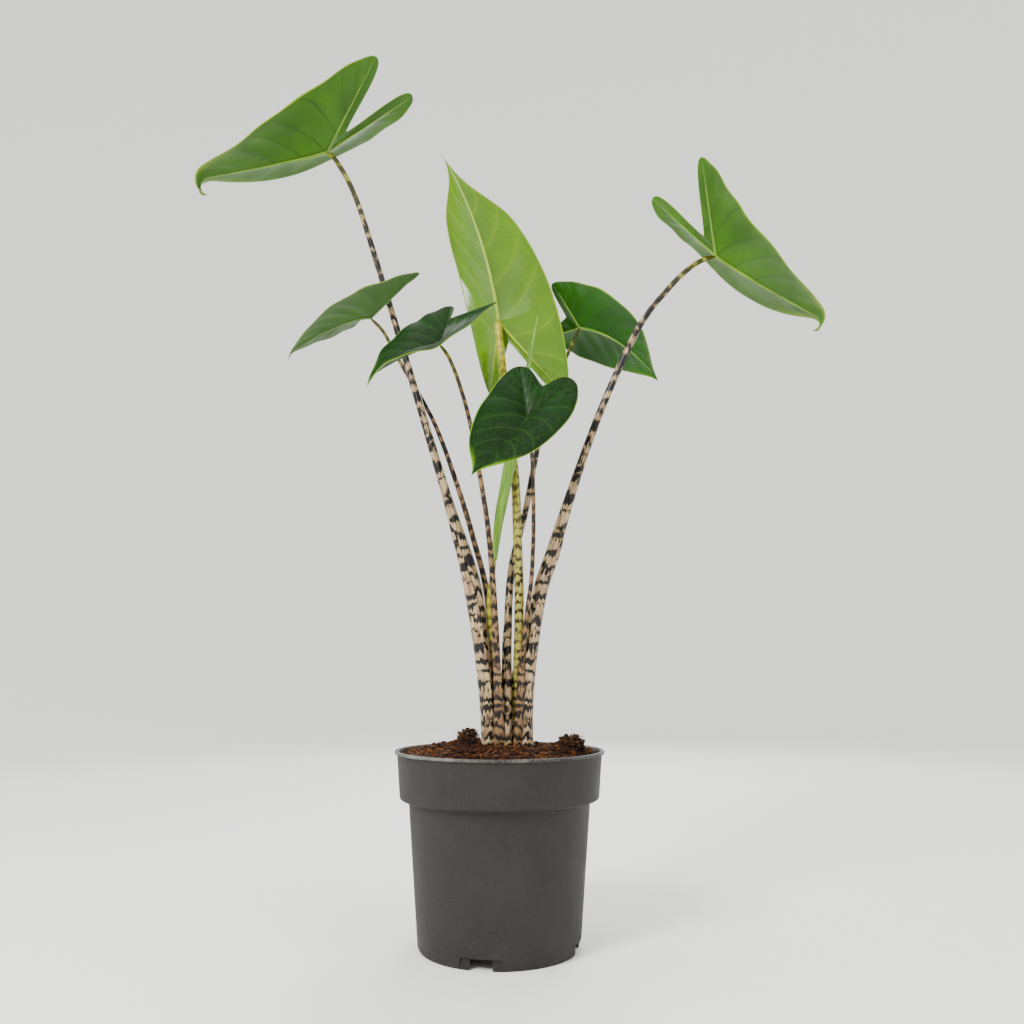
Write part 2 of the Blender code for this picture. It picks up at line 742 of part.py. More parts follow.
# ---------------------------------------------------------------- the whole
def main():
    """Clear the scene and build every piece."""
    for obj in list(bpy.data.objects):
        bpy.data.objects.remove(obj)
    parts = bpy.data.collections.new("potted_alocasia")
    cutters = bpy.data.collections.new("cutters")
    for collection in (parts, cutters):
        bpy.context.scene.collection.children.link(collection)

    make_pot(parts, cutters)
    stem = make_stem("rhizome", 0.0, parts)
    paint(stem, (0.20, 0.11, 0.05, 1.0), 0.8)
    cutting = [make_stem("room_rhizome", GAP, cutters)]
    for name, middle, half_sizes in TUFTS:
        tuft = make_tuft(name, middle, half_sizes, 0.0, parts)
        paint(tuft, (0.16, 0.07, 0.03, 1.0), 0.95)
        cutting.append(make_tuft("room_" + name, middle, half_sizes, GAP, cutters))
    for stalk in STALKS:
        make_stalk(stalk, parts)
        cutting.append(make_stalk_cutter(stalk, cutters))
    make_soil(cutting, parts)
    for blade in BLADES:
        make_blade(blade, parts)
    make_spike(parts)


main()
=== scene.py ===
"""A potted alocasia: the looks of its pot, soil, stalks and blades round the frame.

Metres, +Z up, with the middle of the pot's foot at the origin. The points that
leaf stalks and blades go through are written in whole millimetres.
"""
import logging
import math
import random
from dataclasses import dataclass
from enum import Enum, IntEnum
from functools import partial

import bmesh
import bpy
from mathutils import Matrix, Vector, noise


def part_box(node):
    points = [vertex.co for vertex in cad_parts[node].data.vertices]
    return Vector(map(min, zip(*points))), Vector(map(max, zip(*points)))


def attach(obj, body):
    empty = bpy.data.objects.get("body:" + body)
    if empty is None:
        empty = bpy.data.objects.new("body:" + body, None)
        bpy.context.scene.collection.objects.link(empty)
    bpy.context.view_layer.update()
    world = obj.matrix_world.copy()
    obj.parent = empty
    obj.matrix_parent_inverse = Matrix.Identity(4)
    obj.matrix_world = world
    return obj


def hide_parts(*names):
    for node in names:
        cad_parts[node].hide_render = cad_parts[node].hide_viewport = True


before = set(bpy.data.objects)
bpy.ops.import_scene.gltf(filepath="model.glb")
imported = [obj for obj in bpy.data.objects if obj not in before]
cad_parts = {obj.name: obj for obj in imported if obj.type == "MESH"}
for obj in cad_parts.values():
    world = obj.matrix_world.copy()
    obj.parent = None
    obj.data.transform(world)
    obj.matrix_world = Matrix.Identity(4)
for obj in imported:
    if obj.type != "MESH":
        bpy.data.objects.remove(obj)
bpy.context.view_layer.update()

LOG = logging.getLogger("potted_alocasia")
MM = 0.001

Colour = tuple[float, float, float, float]
Mark = tuple[float, float, float, float]
Rows = list[list[Vector]]
Marks = list[list[Mark]]

TURN = 2.0 * math.pi
NO_MARK = (0.0, 0.0, 0.0, 0.0)
COLOURS = {"data_type": "RGBA"}


# ---------------------------------------------------------------- small tools
def linear(colour: str) -> Colour:
    """Turn an sRGB hex colour into Blender's linear one.

    Args:
        colour: The colour as "#RRGGBB".

    Returns:
        Red, green, blue and an alpha of 1.
    """
    parts = [int(colour[i:i + 2], 16) / 255.0 for i in (1, 3, 5)]
    low = [c / 12.92 if c <= 0.04045 else ((c + 0.055) / 1.055) ** 2.4 for c in parts]
    return (low[0], low[1], low[2], 1.0)


def feed(node: bpy.types.Node, inputs: dict) -> None:
    """Set a node's properties and inputs, and link what other nodes give.

    Args:
        node: The node.
        inputs: Property names, input names or input numbers. Each has its value,
            a hex colour, the socket that feeds it, or the node whose first
            output in use feeds it.
    """
    for key, value in inputs.items():
        if isinstance(value, str) and value.startswith("#"):
            value = linear(value)
        if isinstance(value, bpy.types.Node):
            value = next(socket for socket in value.outputs if socket.enabled)
        if isinstance(value, bpy.types.NodeSocket):
            node.id_data.links.new(value, node.inputs[key])
        elif isinstance(key, str) and hasattr(node, key):
            setattr(node, key, value)
        else:
            node.inputs[key].default_value = value


def add_node(tree: bpy.types.NodeTree, kind: str, inputs: dict | None = None) -> bpy.types.Node:
    """Add a node with its settings and links.

    Args:
        tree: The node tree to add to.
        kind: The node's type, without its ShaderNode prefix.
        inputs: Its settings and links, as feed takes them.

    Returns:
        The new node.
    """
    node = tree.nodes.new("ShaderNode" + kind)
    feed(node, inputs or {})
    return node


def new_material(name: str) -> tuple[bpy.types.Material, partial, bpy.types.Node]:
    """Make a material and give it, add_node for its tree, and its shader node."""
    material = bpy.data.materials.new(name)
    material.use_nodes = True
    tree = material.node_tree
    return material, partial(add_node, tree), tree.nodes["Principled BSDF"]


def point(place: tuple) -> Vector:
    """A point in millimetres as a vector in metres."""
    return Vector(place) * MM


def smooth_route(points: list[Vector], count: int) -> list[Vector]:
    """Evenly spaced points on a smooth curve.

    Args:
        points: The points that the curve goes through.
        count: How many points to give.

    Returns:
        The points on the curve, from the first given point to the last.
    """
    ends = [2 * points[0] - points[1]] + points + [2 * points[-1] - points[-2]]
    fine = []
    steps = 24
    for i in range(1, len(ends) - 2):
        a, b, c, d = ends[i - 1:i + 3]
        for k in range(steps):
            u = k / steps
            fine.append(
                0.5 * (2 * b + (c - a) * u + (2 * a - 5 * b + 4 * c - d) * u ** 2
                       + (3 * b - a - 3 * c + d) * u ** 3)
            )
    fine.append(points[-1].copy())
    lengths = [0.0]
    for a, b in zip(fine, fine[1:]):
        lengths.append(lengths[-1] + (b - a).length)
    route = []
    k = 0
    for i in range(count):
        goal = lengths[-1] * i / (count - 1)
        while k < len(fine) - 2 and lengths[k + 1] < goal:
            k += 1
        share = (goal - lengths[k]) / (lengths[k + 1] - lengths[k])
        route.append(fine[k].lerp(fine[k + 1], min(share, 1.0)))
    return route


def axes_along(route: list[Vector], first: Vector) -> list[tuple[Vector, Vector]]:
    """Two axes across a route at each of its points, without twist.

    Args:
        route: The points of the route.
        first: The direction that the first axis starts in.

    Returns:
        The pair of axes at each point.
    """
    axes = []
    side = first
    for i in range(len(route)):
        ahead = (route[min(i + 1, len(route) - 1)] - route[max(i - 1, 0)]).normalized()
        side = (side - ahead * side.dot(ahead)).normalized()
        axes.append((side, ahead.cross(side)))
    return axes


def hermite(start: Vector, start_slope: Vector, end: Vector, end_slope: Vector, u: float) -> Vector:
    """A point on the cubic between two ends with the given slopes."""
    return (
        (2 * u ** 3 - 3 * u ** 2 + 1) * start
        + (u ** 3 - 2 * u ** 2 + u) * start_slope
        + (3 * u ** 2 - 2 * u ** 3) * end
        + (u ** 3 - u ** 2) * end_slope
    )


def ease(low: float, high: float, value: float) -> float:
    """A smooth step from 0 at low to 1 at high."""
    u = min(1.0, max(0.0, (value - low) / (high - low)))
    return u * u * (3.0 - 2.0 * u)


class Sculpt:
    """Collects points, faces and marks, and makes one object of them.

    A mark is four numbers at a point that the finishes draw their patterns
    from: three go to the attribute "run" and the last to "share".
    """

    def __init__(self) -> None:
        """Start with nothing."""
        self.points: list[Vector] = []
        self.marks: list[Mark] = []
        self.faces: list[tuple] = []
        self.slots: list[int] = []

    def add_points(self, rows: Rows, marks: Marks | None) -> tuple[int, int]:
        """Add rows of points; give the first one's number and the rows' length."""
        start = len(self.points)
        wide = len(rows[0])
        for row in rows:
            self.points.extend(row)
        for row_marks in marks or [[NO_MARK] * wide] * len(rows):
            self.marks.extend(row_marks)
        return start, wide

    def sheet(self, rows: Rows, marks: Marks | None = None, slot: int = 0) -> None:
        """Add a sheet of quads.

        Args:
            rows: Rows of points.
            marks: The mark of each point.
            slot: The material slot.
        """
        start, wide = self.add_points(rows, marks)
        for i in range(len(rows) - 1):
            for j in range(wide - 1):
                a = start + i * wide + j
                self.faces.append((a, a + 1, a + wide + 1, a + wide))
                self.slots.append(slot)

    def sweep(self, rings: Rows, marks: Marks | None = None, slot: int = 0) -> None:
        """Add a closed tube through rings of points.

        Args:
            rings: Rings of points, all of one size.
            marks: The mark of each point.
            slot: The material slot.
        """
        start, wide = self.add_points(rings, marks)
        for i in range(len(rings) - 1):
            for j in range(wide):
                a = start + i * wide
                k = (j + 1) % wide
                self.faces.append((a + j, a + k, a + wide + k, a + wide + j))
                self.slots.append(slot)
        last = start + (len(rings) - 1) * wide
        self.faces.append(tuple(range(start + wide - 1, start - 1, -1)))
        self.faces.append(tuple(range(last, last + wide)))
        self.slots.extend((slot, slot))

    def solid(self, points: list[Vector], faces: list[tuple], mark: Mark, slot: int) -> None:
        """Add a small solid whose points share one mark."""
        start = len(self.points)
        self.points.extend(points)
        self.marks.extend([mark] * len(points))
        self.faces.extend(tuple(start + i for i in face) for face in faces)
        self.slots.extend([slot] * len(faces))

    def build(
        self, name: str, materials: list[bpy.types.Material], weld: float = 0.0
    ) -> bpy.types.Object:
        """Make the object.

        Args:
            name: The object's name.
            materials: Its materials, in slot order.
            weld: Points nearer than this become one.

        Returns:
            The object, smooth and with its faces turned outwards.
        """
        mesh = bpy.data.meshes.new(name)
        mesh.from_pydata(self.points, [], self.faces)
        for material in materials:
            mesh.materials.append(material)
        mesh.polygons.foreach_set("material_index", self.slots)
        run = mesh.attributes.new("run", "FLOAT_VECTOR", "POINT")
        run.data.foreach_set("vector", [value for mark in self.marks for value in mark[:3]])
        share = mesh.attributes.new("share", "FLOAT", "POINT")
        share.data.foreach_set("value", [mark[3] for mark in self.marks])
        bm = bmesh.new()
        bm.from_mesh(mesh)
        if weld > 0.0:
            bmesh.ops.remove_doubles(bm, verts=bm.verts, dist=weld)
            bmesh.ops.dissolve_degenerate(bm, edges=bm.edges, dist=weld)
        bmesh.ops.recalc_face_normals(bm, faces=bm.faces)
        for face in bm.faces:
            face.smooth = True
        bm.to_mesh(mesh)
        bm.free()
        obj = bpy.data.objects.new(name, mesh)
        bpy.context.scene.collection.objects.link(obj)
        return obj


def place(piece: bpy.types.Object, node: str, slot: str) -> None:
    """Ride a piece on the frame in place of a node, and log how well it sits.

    Args:
        piece: The finished piece.
        node: The CAD node that it stands for.
        slot: Not used.
    """
    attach(piece, "root")
    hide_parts(node)
    low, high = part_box(node)
    corners = [Vector(corner) for corner in piece.bound_box]
    over = max(
        max(max(c[k] - high[k], low[k] - c[k]) for c in corners) for k in range(3)
    )
    LOG.info("%s stands for %s, %.1f mm past its box", piece.name, node, over / MM)


# ---------------------------------------------------------------- finishes
@dataclass(frozen=True)
class PotPlastic:
    """Recycled polypropylene, injection moulded, thin walled and satin.

    To the eye it is a dark warm grey with a fine speckle, soft broad gloss, a
    little dust, and a lip that is paler in patches.
    """

    body: str = "#2B2826"
    shade: str = "#22201E"
    pale_lip: str = "#7A7974"
    dust: str = "#66625A"
    roughness: float = 0.62

    def material(self, lip_height: float) -> bpy.types.Material:
        """Make the material; the lip's lowest height says where it turns paler."""
        material, add, shader = new_material("recycled_polypropylene")
        where = add("TexCoord").outputs["Object"]
        # speckle of the regrind, 0.9 mm across: coarser than real, so that it shows
        speckle = add("TexNoise", {
            "Scale": 1.0 / 0.0018, "Detail": 2.0, "Roughness": 0.7, "Vector": where})
        # flow clouds from moulding, about 50 mm across
        cloud = add("TexNoise", {"Scale": 1.0 / 0.05, "Detail": 3.0, "Vector": where})
        tone = add("Math", {"operation": "MULTIPLY_ADD", 0: speckle, 1: 0.55, 2: cloud})
        mixed = add("MapRange", {"From Min": 0.62, "From Max": 0.95, "Value": tone})
        body = add("Mix", {
            **COLOURS, 0: mixed, 6: self.shade, 7: self.body})
        # specks of dust, 6 mm apart and well under 1 mm across
        grit = add("TexVoronoi", {"Scale": 1.0 / 0.006, "Vector": where})
        dusty = add("MapRange", {
            "From Min": 0.10, "From Max": 0.04, "To Max": 0.5, "Value": grit})
        dusted = add("Mix", {**COLOURS, 0: dusty, 6: body, 7: self.dust})
        height = add("SeparateXYZ", {0: where}).outputs["Z"]
        # the lip turns paler from just above its lowest edge up to the rim, in patches of the
        # speckle and clouds
        lip = add("MapRange", {
            "From Min": lip_height - 0.0002, "From Max": lip_height + 0.0012,
            "To Max": 0.75, "Value": height})
        pale_lip_share = add("Math", {"operation": "MULTIPLY", 0: lip, 1: mixed})
        colour = add("Mix", {**COLOURS, 0: pale_lip_share, 6: dusted, 7: self.pale_lip})
        gloss = add("MapRange", {
            "From Min": 0.3, "From Max": 0.7, "To Min": self.roughness - 0.08,
            "To Max": self.roughness + 0.10, "Value": cloud})
        bump = add("Bump", {"Strength": 0.25, "Distance": 0.0003, "Height": speckle})
        feed(shader, {"Base Color": colour, "Roughness": gloss,
                      "Specular IOR Level": 0.22, "Normal": bump})
        return material


@dataclass(frozen=True)
class Humus:
    """Peat and coir potting soil: matt red-brown crumbs, each of its own tone."""

    name: str
    dark: str
    middle: str
    pale: str

    def material(self) -> bpy.types.Material:
        """Make the material; a crumb's own tone comes from its mark."""
        material, add, shader = new_material(self.name)
        where = add("TexCoord").outputs["Object"]
        own = add("Attribute", {"attribute_name": "share"}).outputs["Fac"]
        # mottle of 2 to 3 mm over each crumb
        mottle = add("TexNoise", {
            "Scale": 1.0 / 0.003, "Detail": 4.0, "Roughness": 0.7, "Vector": where})
        tone = add("Math", {"operation": "MULTIPLY_ADD", 0: mottle, 1: 0.7, 2: own})
        low = add("MapRange", {"From Min": 0.35, "From Max": 0.80, "Value": tone})
        high = add("MapRange", {"From Min": 0.85, "From Max": 1.35, "Value": tone})
        earth = add("Mix", {
            **COLOURS, 0: low, 6: self.dark, 7: self.middle})
        colour = add("Mix", {**COLOURS, 0: high, 6: earth, 7: self.pale})
        bump = add("Bump", {"Strength": 0.8, "Distance": 0.0008, "Height": mottle})
        feed(shader, {"Base Color": colour, "Roughness": 0.93,
                      "Specular IOR Level": 0.2, "Normal": bump})
        return material


@dataclass(frozen=True)
class StalkSkin:
    """Living stalk skin: pale ground with near-black cross bands.

    The bands' ends run out in streaks along the stalk, and the ground turns
    yellow-green and the bands fade towards the blade.
    """

    name: str
    ground: str
    warm: str
    dark: str
    young: str
    spacing: float = 0.0155
    cover: float = 0.31
    widening: float = 0.20
    young_from: float = 0.84
    young_to: float = 0.99
    top_strength: float = 0.85
    streak: float = 0.0010
    raggedness: float = 1.3
    wander: float = 1.8
    roughness: float = 0.40

    def material(self) -> bpy.types.Material:
        """Make the material from the marks: across the stalk, and the run along it."""
        material, add, shader = new_material(self.name)
        run = add("Attribute", {"attribute_name": "run"}).outputs["Vector"]
        share = add("Attribute", {"attribute_name": "share"}).outputs["Fac"]
        drawn_out = add("VectorMath", {
            "operation": "MULTIPLY", 0: run, 1: (1.0, 1.0, 0.09)})
        # streaks 1 mm wide and about 12 mm long
        streaks = add("TexNoise", {
            "Scale": 0.6 / self.streak, "Detail": 2.0, "Roughness": 0.55, "Vector": drawn_out})
        # how the bands wander round the stalk, over 20 mm
        wander = add("TexNoise", {"Scale": 1.0 / 0.020, "Detail": 1.0, "Vector": run})
        along = add("SeparateXYZ", {0: run}).outputs["Z"]
        waved = add("Math", {"operation": "MULTIPLY", 0: wander, 1: self.wander})
        ragged = add("Math", {
            "operation": "MULTIPLY_ADD", 0: streaks, 1: self.raggedness, 2: waved})
        bands = add("Math", {
            "operation": "MULTIPLY_ADD", 0: along, 1: 1.0 / self.spacing, 2: ragged})
        wave = add("Math", {"operation": "PINGPONG", 0: bands, 1: 0.5})
        # gaps that narrow and break the bands, 9 mm across
        gaps = add("TexNoise", {"Scale": 1.0 / 0.009, "Detail": 2.0, "Vector": run})
        thinned = add("Math", {"operation": "MULTIPLY_ADD", 0: gaps, 1: 1.1, 2: wave})
        # the bands take up more of the stalk towards the blade
        widened = add("Math", {
            "operation": "MULTIPLY_ADD", 0: share, 1: self.widening, 2: thinned})
        marked = add("MapRange", {
            "interpolation_type": "SMOOTHSTEP", "From Min": self.cover + 0.48,
            "From Max": self.cover + 0.64, "Value": widened})
        fading = add("MapRange", {
            "From Min": self.young_from, "From Max": self.young_to,
            "To Min": 1.0, "To Max": self.top_strength, "Value": share})
        mask = add("Math", {"operation": "MULTIPLY", 0: marked, 1: fading})
        tone = add("MapRange", {"From Min": 0.35, "From Max": 0.65, "Value": streaks})
        ground = add("Mix", {
            **COLOURS, 0: tone, 6: self.ground, 7: self.warm})
        youth = add("MapRange", {
            "From Min": self.young_from, "From Max": self.young_to, "Value": share})
        fresh = add("Mix", {**COLOURS, 0: youth, 6: ground, 7: self.young})
        colour = add("Mix", {**COLOURS, 0: mask, 6: fresh, 7: self.dark})
        bump = add("Bump", {"Strength": 0.35, "Distance": 0.0003, "Height": streaks})
        feed(shader, {"Base Color": colour, "Roughness": self.roughness,
                      "Specular IOR Level": 0.3, "Normal": bump})
        return material


@dataclass(frozen=True)
class BladeSkin:
    """Living blade skin: waxy green with side veins and a pale thin margin.

    The wax gives a broad soft gloss, and the net of fine veins a faint pebbling.
    """

    name: str
    green: str
    deep: str
    vein: str
    margin: str
    vein_strength: float = 0.75
    vein_width: float = 0.035
    halo: float = 0.18
    roughness: float = 0.36
    net: float = 0.20
    wax: float = 0.28
    yellowing: float = 0.55

    def material(self) -> bpy.types.Material:
        """Make the material from the marks: vein count, share across, share along."""
        material, add, shader = new_material(self.name)
        where = add("TexCoord").outputs["Object"]
        run = add("Attribute", {"attribute_name": "run"}).outputs["Vector"]
        parts = add("SeparateXYZ", {0: run}).outputs
        count, across, along = parts["X"], parts["Y"], parts["Z"]
        # patches of deeper green, about 50 mm across
        patch = add("TexNoise", {"Scale": 1.0 / 0.05, "Detail": 3.0, "Vector": where})
        patchy = add("MapRange", {"From Min": 0.35, "From Max": 0.65, "Value": patch})
        green = add("Mix", {
            **COLOURS, 0: patchy, 6: self.green, 7: self.deep})
        # the net of finest veins, cells of 4 to 5 mm
        net = add("TexVoronoi", {
            "feature": "DISTANCE_TO_EDGE", "Scale": 1.0 / 0.0045, "Vector": where})
        netted = add("MapRange", {
            "From Min": 0.0, "From Max": 0.12, "To Min": self.net, "To Max": 0.0, "Value": net})
        off = add("Math", {"operation": "PINGPONG", 0: count, 1: 0.5})
        line = add("MapRange", {
            "interpolation_type": "SMOOTHSTEP", "From Min": 0.25 * self.vein_width,
            "From Max": self.vein_width, "To Min": self.vein_strength, "To Max": 0.0,
            "Value": off})
        beside = add("MapRange", {
            "interpolation_type": "SMOOTHSTEP", "From Min": 0.0, "From Max": 0.22,
            "To Min": self.halo, "To Max": 0.0, "Value": off})
        vein = add("Math", {"operation": "MAXIMUM", 0: line, 1: beside})
        veined = add("Math", {"operation": "MAXIMUM", 0: vein, 1: netted})
        outwards = add("MapRange", {
            "From Min": 0.80, "From Max": 0.97, "To Min": 1.0, "To Max": 0.1, "Value": across})
        fading = add("Math", {"operation": "MULTIPLY", 0: veined, 1: outwards})
        lined = add("Mix", {**COLOURS, 0: fading, 6: green, 7: self.vein})
        # the tip and the margin near it are yellower, in patches
        to_tip = add("Math", {"operation": "MULTIPLY", 0: along, 1: across})
        uneven = add("Math", {"operation": "MULTIPLY_ADD", 0: patch, 1: 0.5, 2: to_tip})
        yellowing = add("MapRange", {
            "interpolation_type": "SMOOTHSTEP", "From Min": 0.70, "From Max": 1.15,
            "To Max": self.yellowing, "Value": uneven})
        tipped = add("Mix", {**COLOURS, 0: yellowing, 6: lined, 7: self.margin})
        edge = add("MapRange", {"From Min": 0.972, "From Max": 0.990, "Value": across})
        colour = add("Mix", {**COLOURS, 0: edge, 6: tipped, 7: self.margin})
        gloss = add("MapRange", {
            "From Min": 0.3, "From Max": 0.7, "To Min": self.roughness - 0.07,
            "To Max": self.roughness + 0.09, "Value": patch})
        bump = add("Bump", {
            "Strength": 0.30, "Distance": 0.0004, "invert": True, "Height": veined})
        feed(shader, {"Base Color": colour, "Roughness": gloss,
                      "Specular IOR Level": self.wax, "Normal": bump})
        return material


@dataclass(frozen=True)
class RibSkin:
    """The pale, firm skin of midribs, with fine lengthwise lines."""

    name: str
    pale: str
    line: str
    roughness: float = 0.38

    def material(self) -> bpy.types.Material:
        """Make the material; lines run along the rib, 0.7 mm apart."""
        material, add, shader = new_material(self.name)
        run = add("Attribute", {"attribute_name": "run"}).outputs["Vector"]
        drawn_out = add("VectorMath", {
            "operation": "MULTIPLY", 0: run, 1: (1.0, 1.0, 0.06)})
        lines = add("TexNoise", {
            "Scale": 0.5 / 0.0007, "Detail": 2.0, "Vector": drawn_out})
        fac = add("MapRange", {"From Min": 0.38, "From Max": 0.62, "Value": lines})
        colour = add("Mix", {
            **COLOURS, 0: fac, 6: self.pale, 7: self.line})
        bump = add("Bump", {"Strength": 0.3, "Distance": 0.0003, "Height": lines})
        feed(shader, {"Base Color": colour, "Roughness": self.roughness, "Normal": bump})
        return material


@dataclass(frozen=True)
class Bark:
    """Corky skin of the short stem under the soil, in rings of dull brown."""

    dark: str = "#3A2416"
    pale: str = "#7A5A3C"

    def material(self) -> bpy.types.Material:
        """Make the material; rings are about 5 mm apart."""
        material, add, shader = new_material("corky_stem")
        where = add("TexCoord").outputs["Object"]
        rings = add("TexWave", {
            "bands_direction": "Z", "Scale": 0.314 / 0.005, "Distortion": 3.0, "Detail": 3.0,
            "Detail Scale": 2.0, "Vector": where}).outputs["Fac"]
        colour = add("Mix", {
            **COLOURS, 0: rings, 6: self.dark, 7: self.pale})
        bump = add("Bump", {"Strength": 0.6, "Distance": 0.001, "Height": rings})
        feed(shader, {"Base Color": colour, "Roughness": 0.85, "Normal": bump})
        return material


class Finishes:
    """Keeps one material per finish, so that leaves that match share theirs."""

    made: dict = {}

    @classmethod
    def of(cls, finish: object) -> bpy.types.Material:
        """The finish's material, made on first use."""
        if finish not in cls.made:
            cls.made[finish] = finish.material()
        return cls.made[finish]


# ---------------------------------------------------------------- pot and soil
@dataclass
class NurseryPot:
    """A thin-walled nursery pot with a stacking collar and notched foot."""

    height: float
    rim_radius: float
    foot_radius: float = 0.0795
    wall: float = 0.0016
    body_top_radius: float = 0.0903
    collar_radius: float = 0.0992
    collar_drop: float = 0.0465
    lip_reach: float = 0.0025
    lip_depth: float = 0.003
    floor_rise: float = 0.012
    foot_ring: float = 0.004
    centre_foot_radius: float = 0.013
    drain_turn: float = math.radians(-11.5)
    drain_width: float = 0.021
    drain_height: float = 0.0105
    facet_top: float = 0.038
    facet_foot: float = 0.046
    facet_depth: float = 0.0016
    facet_reach: float = 0.020
    drain_reach: float = 0.008
    drains: int = 4
    floor_holes: int = 6
    hole_radius: float = 0.005
    hole_circle: float = 0.046
    hole_sides: int = 32
    sides: int = 192

    def inside(self) -> list[tuple]:
        """The inner line from the floor's middle to the rim, with corner rounding."""
        wall = self.wall
        collar_foot = self.height - self.collar_drop
        floor_top = self.floor_rise + wall
        share = floor_top / collar_foot
        floor_radius = self.foot_radius + (self.body_top_radius - self.foot_radius) * share
        return [
            (0.0, wall, 0.0),
            (self.centre_foot_radius - wall, wall, 0.0008),
            (self.centre_foot_radius + wall, floor_top, 0.0008),
            (floor_radius - wall, floor_top, 0.002),
            (self.body_top_radius - wall, collar_foot - wall, 0.002),
            (self.collar_radius - wall, collar_foot + wall, 0.002),
            (self.rim_radius - self.lip_reach - wall, self.height - 0.5 * wall, 0.0004),
        ]

    def outside(self) -> list[tuple]:
        """The outer line from the rim down to the foot's middle, with corner rounding."""
        wall, rim = self.wall, self.rim_radius
        collar_foot = self.height - self.collar_drop
        lip_foot = self.height - self.lip_depth
        foot_inner = self.foot_radius - self.foot_ring
        return [
            (rim - self.lip_reach - 0.5 * wall, self.height, 0.0004),
            (rim, self.height, 0.0009),
            (rim, lip_foot, 0.0009),
            (rim - self.lip_reach, lip_foot, 0.0008),
            (self.collar_radius, collar_foot + wall, 0.002),
            (self.collar_radius - wall, collar_foot, 0.0012),
            (self.body_top_radius, collar_foot - 0.5 * wall, 0.0010),
            (self.foot_radius, 2.0 * wall, 0.0016),
            (self.foot_radius - 1.2 * wall, 0.0, 0.0006),
            (foot_inner, 0.0, 0.0006),
            (foot_inner, self.floor_rise, 0.0010),
            (self.centre_foot_radius + 1.6 * wall, self.floor_rise, 0.0008),
            (self.centre_foot_radius, 0.0, 0.0006),
            (0.0, 0.0, 0.0),
        ]

    @staticmethod
    def rounded(corners: list[tuple]) -> list[tuple]:
        """Round a line's corners.

        Args:
            corners: Radius, height and corner rounding of each corner.

        Returns:
            The line's points as (radius, height).
        """
        line = [corners[0][:2]]
        steps = 4
        for before, corner, after in zip(corners, corners[1:], corners[2:]):
            here = Vector(corner[:2])
            to_before = Vector(before[:2]) - here
            to_after = Vector(after[:2]) - here
            reach = min(corner[2], 0.45 * to_before.length, 0.45 * to_after.length)
            start = here + to_before.normalized() * reach
            end = here + to_after.normalized() * reach
            for k in range(steps + 1):
                u = k / steps
                spot = (1 - u) ** 2 * start + 2 * u * (1 - u) * here + u ** 2 * end
                line.append((spot.x, spot.y))
        line.append(corners[-1][:2])
        return line

    def cutter(self, name: str, outline: list[tuple], depth: tuple) -> bpy.types.Object:
        """Prisms round the foot that cut the pot.

        Args:
            name: The cutter's name.
            outline: The prism's outline as (sideways, height).
            depth: Its nearest and farthest distance from the middle.

        Returns:
            The cutter, with the prism repeated at each drain.
        """
        sculpt = Sculpt()
        for i in range(self.drains):
            turn = self.drain_turn + TURN * i / self.drains
            out = Vector((math.sin(turn), -math.cos(turn), 0.0))
            side = Vector((math.cos(turn), math.sin(turn), 0.0))
            sculpt.sweep([
                [out * far + side * x + Vector((0.0, 0.0, z)) for x, z in outline]
                for far in depth
            ])
        return sculpt.build(name, [])

    def build(self) -> bpy.types.Object:
        """Turn the pot, cut its drains and dress it."""
        line = self.rounded(self.inside()) + self.rounded(self.outside())
        sculpt = Sculpt()
        rows = []
        for k in range(self.sides + 1):
            turn = TURN * k / self.sides
            rows.append([Vector((r * math.cos(turn), r * math.sin(turn), z)) for r, z in line])
        sculpt.sheet(rows)
        finish = PotPlastic().material(self.height - self.lip_depth)
        pot = sculpt.build("nursery_pot", [finish], weld=0.00002)
        half = 0.5 * self.drain_width
        top = self.drain_height
        foot_half, top_half = 0.5 * self.facet_foot, 0.5 * self.facet_top
        facet = [
            (-foot_half, -top), (foot_half, -top), (top_half, 1.02 * top), (-top_half, 1.02 * top),
        ]
        opening = [(-half, -top), (half, -top), (half, top), (-half, top)]
        chord = math.sqrt(self.foot_radius ** 2 - (0.5 * (foot_half + top_half)) ** 2)
        face = max(chord, self.foot_radius - 0.5 * self.foot_ring) - self.facet_depth
        cutters = [
            self.cutter("cut_facets", facet, (face, self.foot_radius + self.facet_reach)),
            self.cutter(
                "cut_drains", opening,
                (self.foot_radius - self.drain_reach, self.foot_radius + self.drain_reach),
            ),
            self.floor_cutter(),
        ]
        for tool in cutters:
            cut = pot.modifiers.new(tool.name, "BOOLEAN")
            cut.operation = "DIFFERENCE"
            cut.solver = "EXACT"
            cut.object = tool
        bpy.context.view_layer.update()
        seen = pot.evaluated_get(bpy.context.evaluated_depsgraph_get())
        mesh = bpy.data.meshes.new_from_object(seen)
        pot.modifiers.clear()
        pot.data = mesh
        mesh.set_sharp_from_angle(angle=math.radians(40.0))
        for tool in cutters:
            bpy.data.objects.remove(tool)
        return pot

    def floor_cutter(self) -> bpy.types.Object:
        """Round holes through the pot's floor."""
        sculpt = Sculpt()
        for i in range(self.floor_holes):
            turn = TURN * (i + 0.5) / self.floor_holes
            middle = Vector((math.sin(turn), math.cos(turn), 0.0)) * self.hole_circle
            middle.z = self.floor_rise
            round_turns = [TURN * k / self.hole_sides for k in range(self.hole_sides)]
            sculpt.sweep([
                [
                    middle + Vector((
                        self.hole_radius * math.cos(a), self.hole_radius * math.sin(a), z))
                    for a in round_turns
                ]
                for z in (-3.0 * self.wall, 3.0 * self.wall)
            ])
        return sculpt.build("cut_floor", [])


class SoilSlot(IntEnum):
    """Material slots of the soil and its tufts."""

    CRUMB = 0
    FIBRE = 1


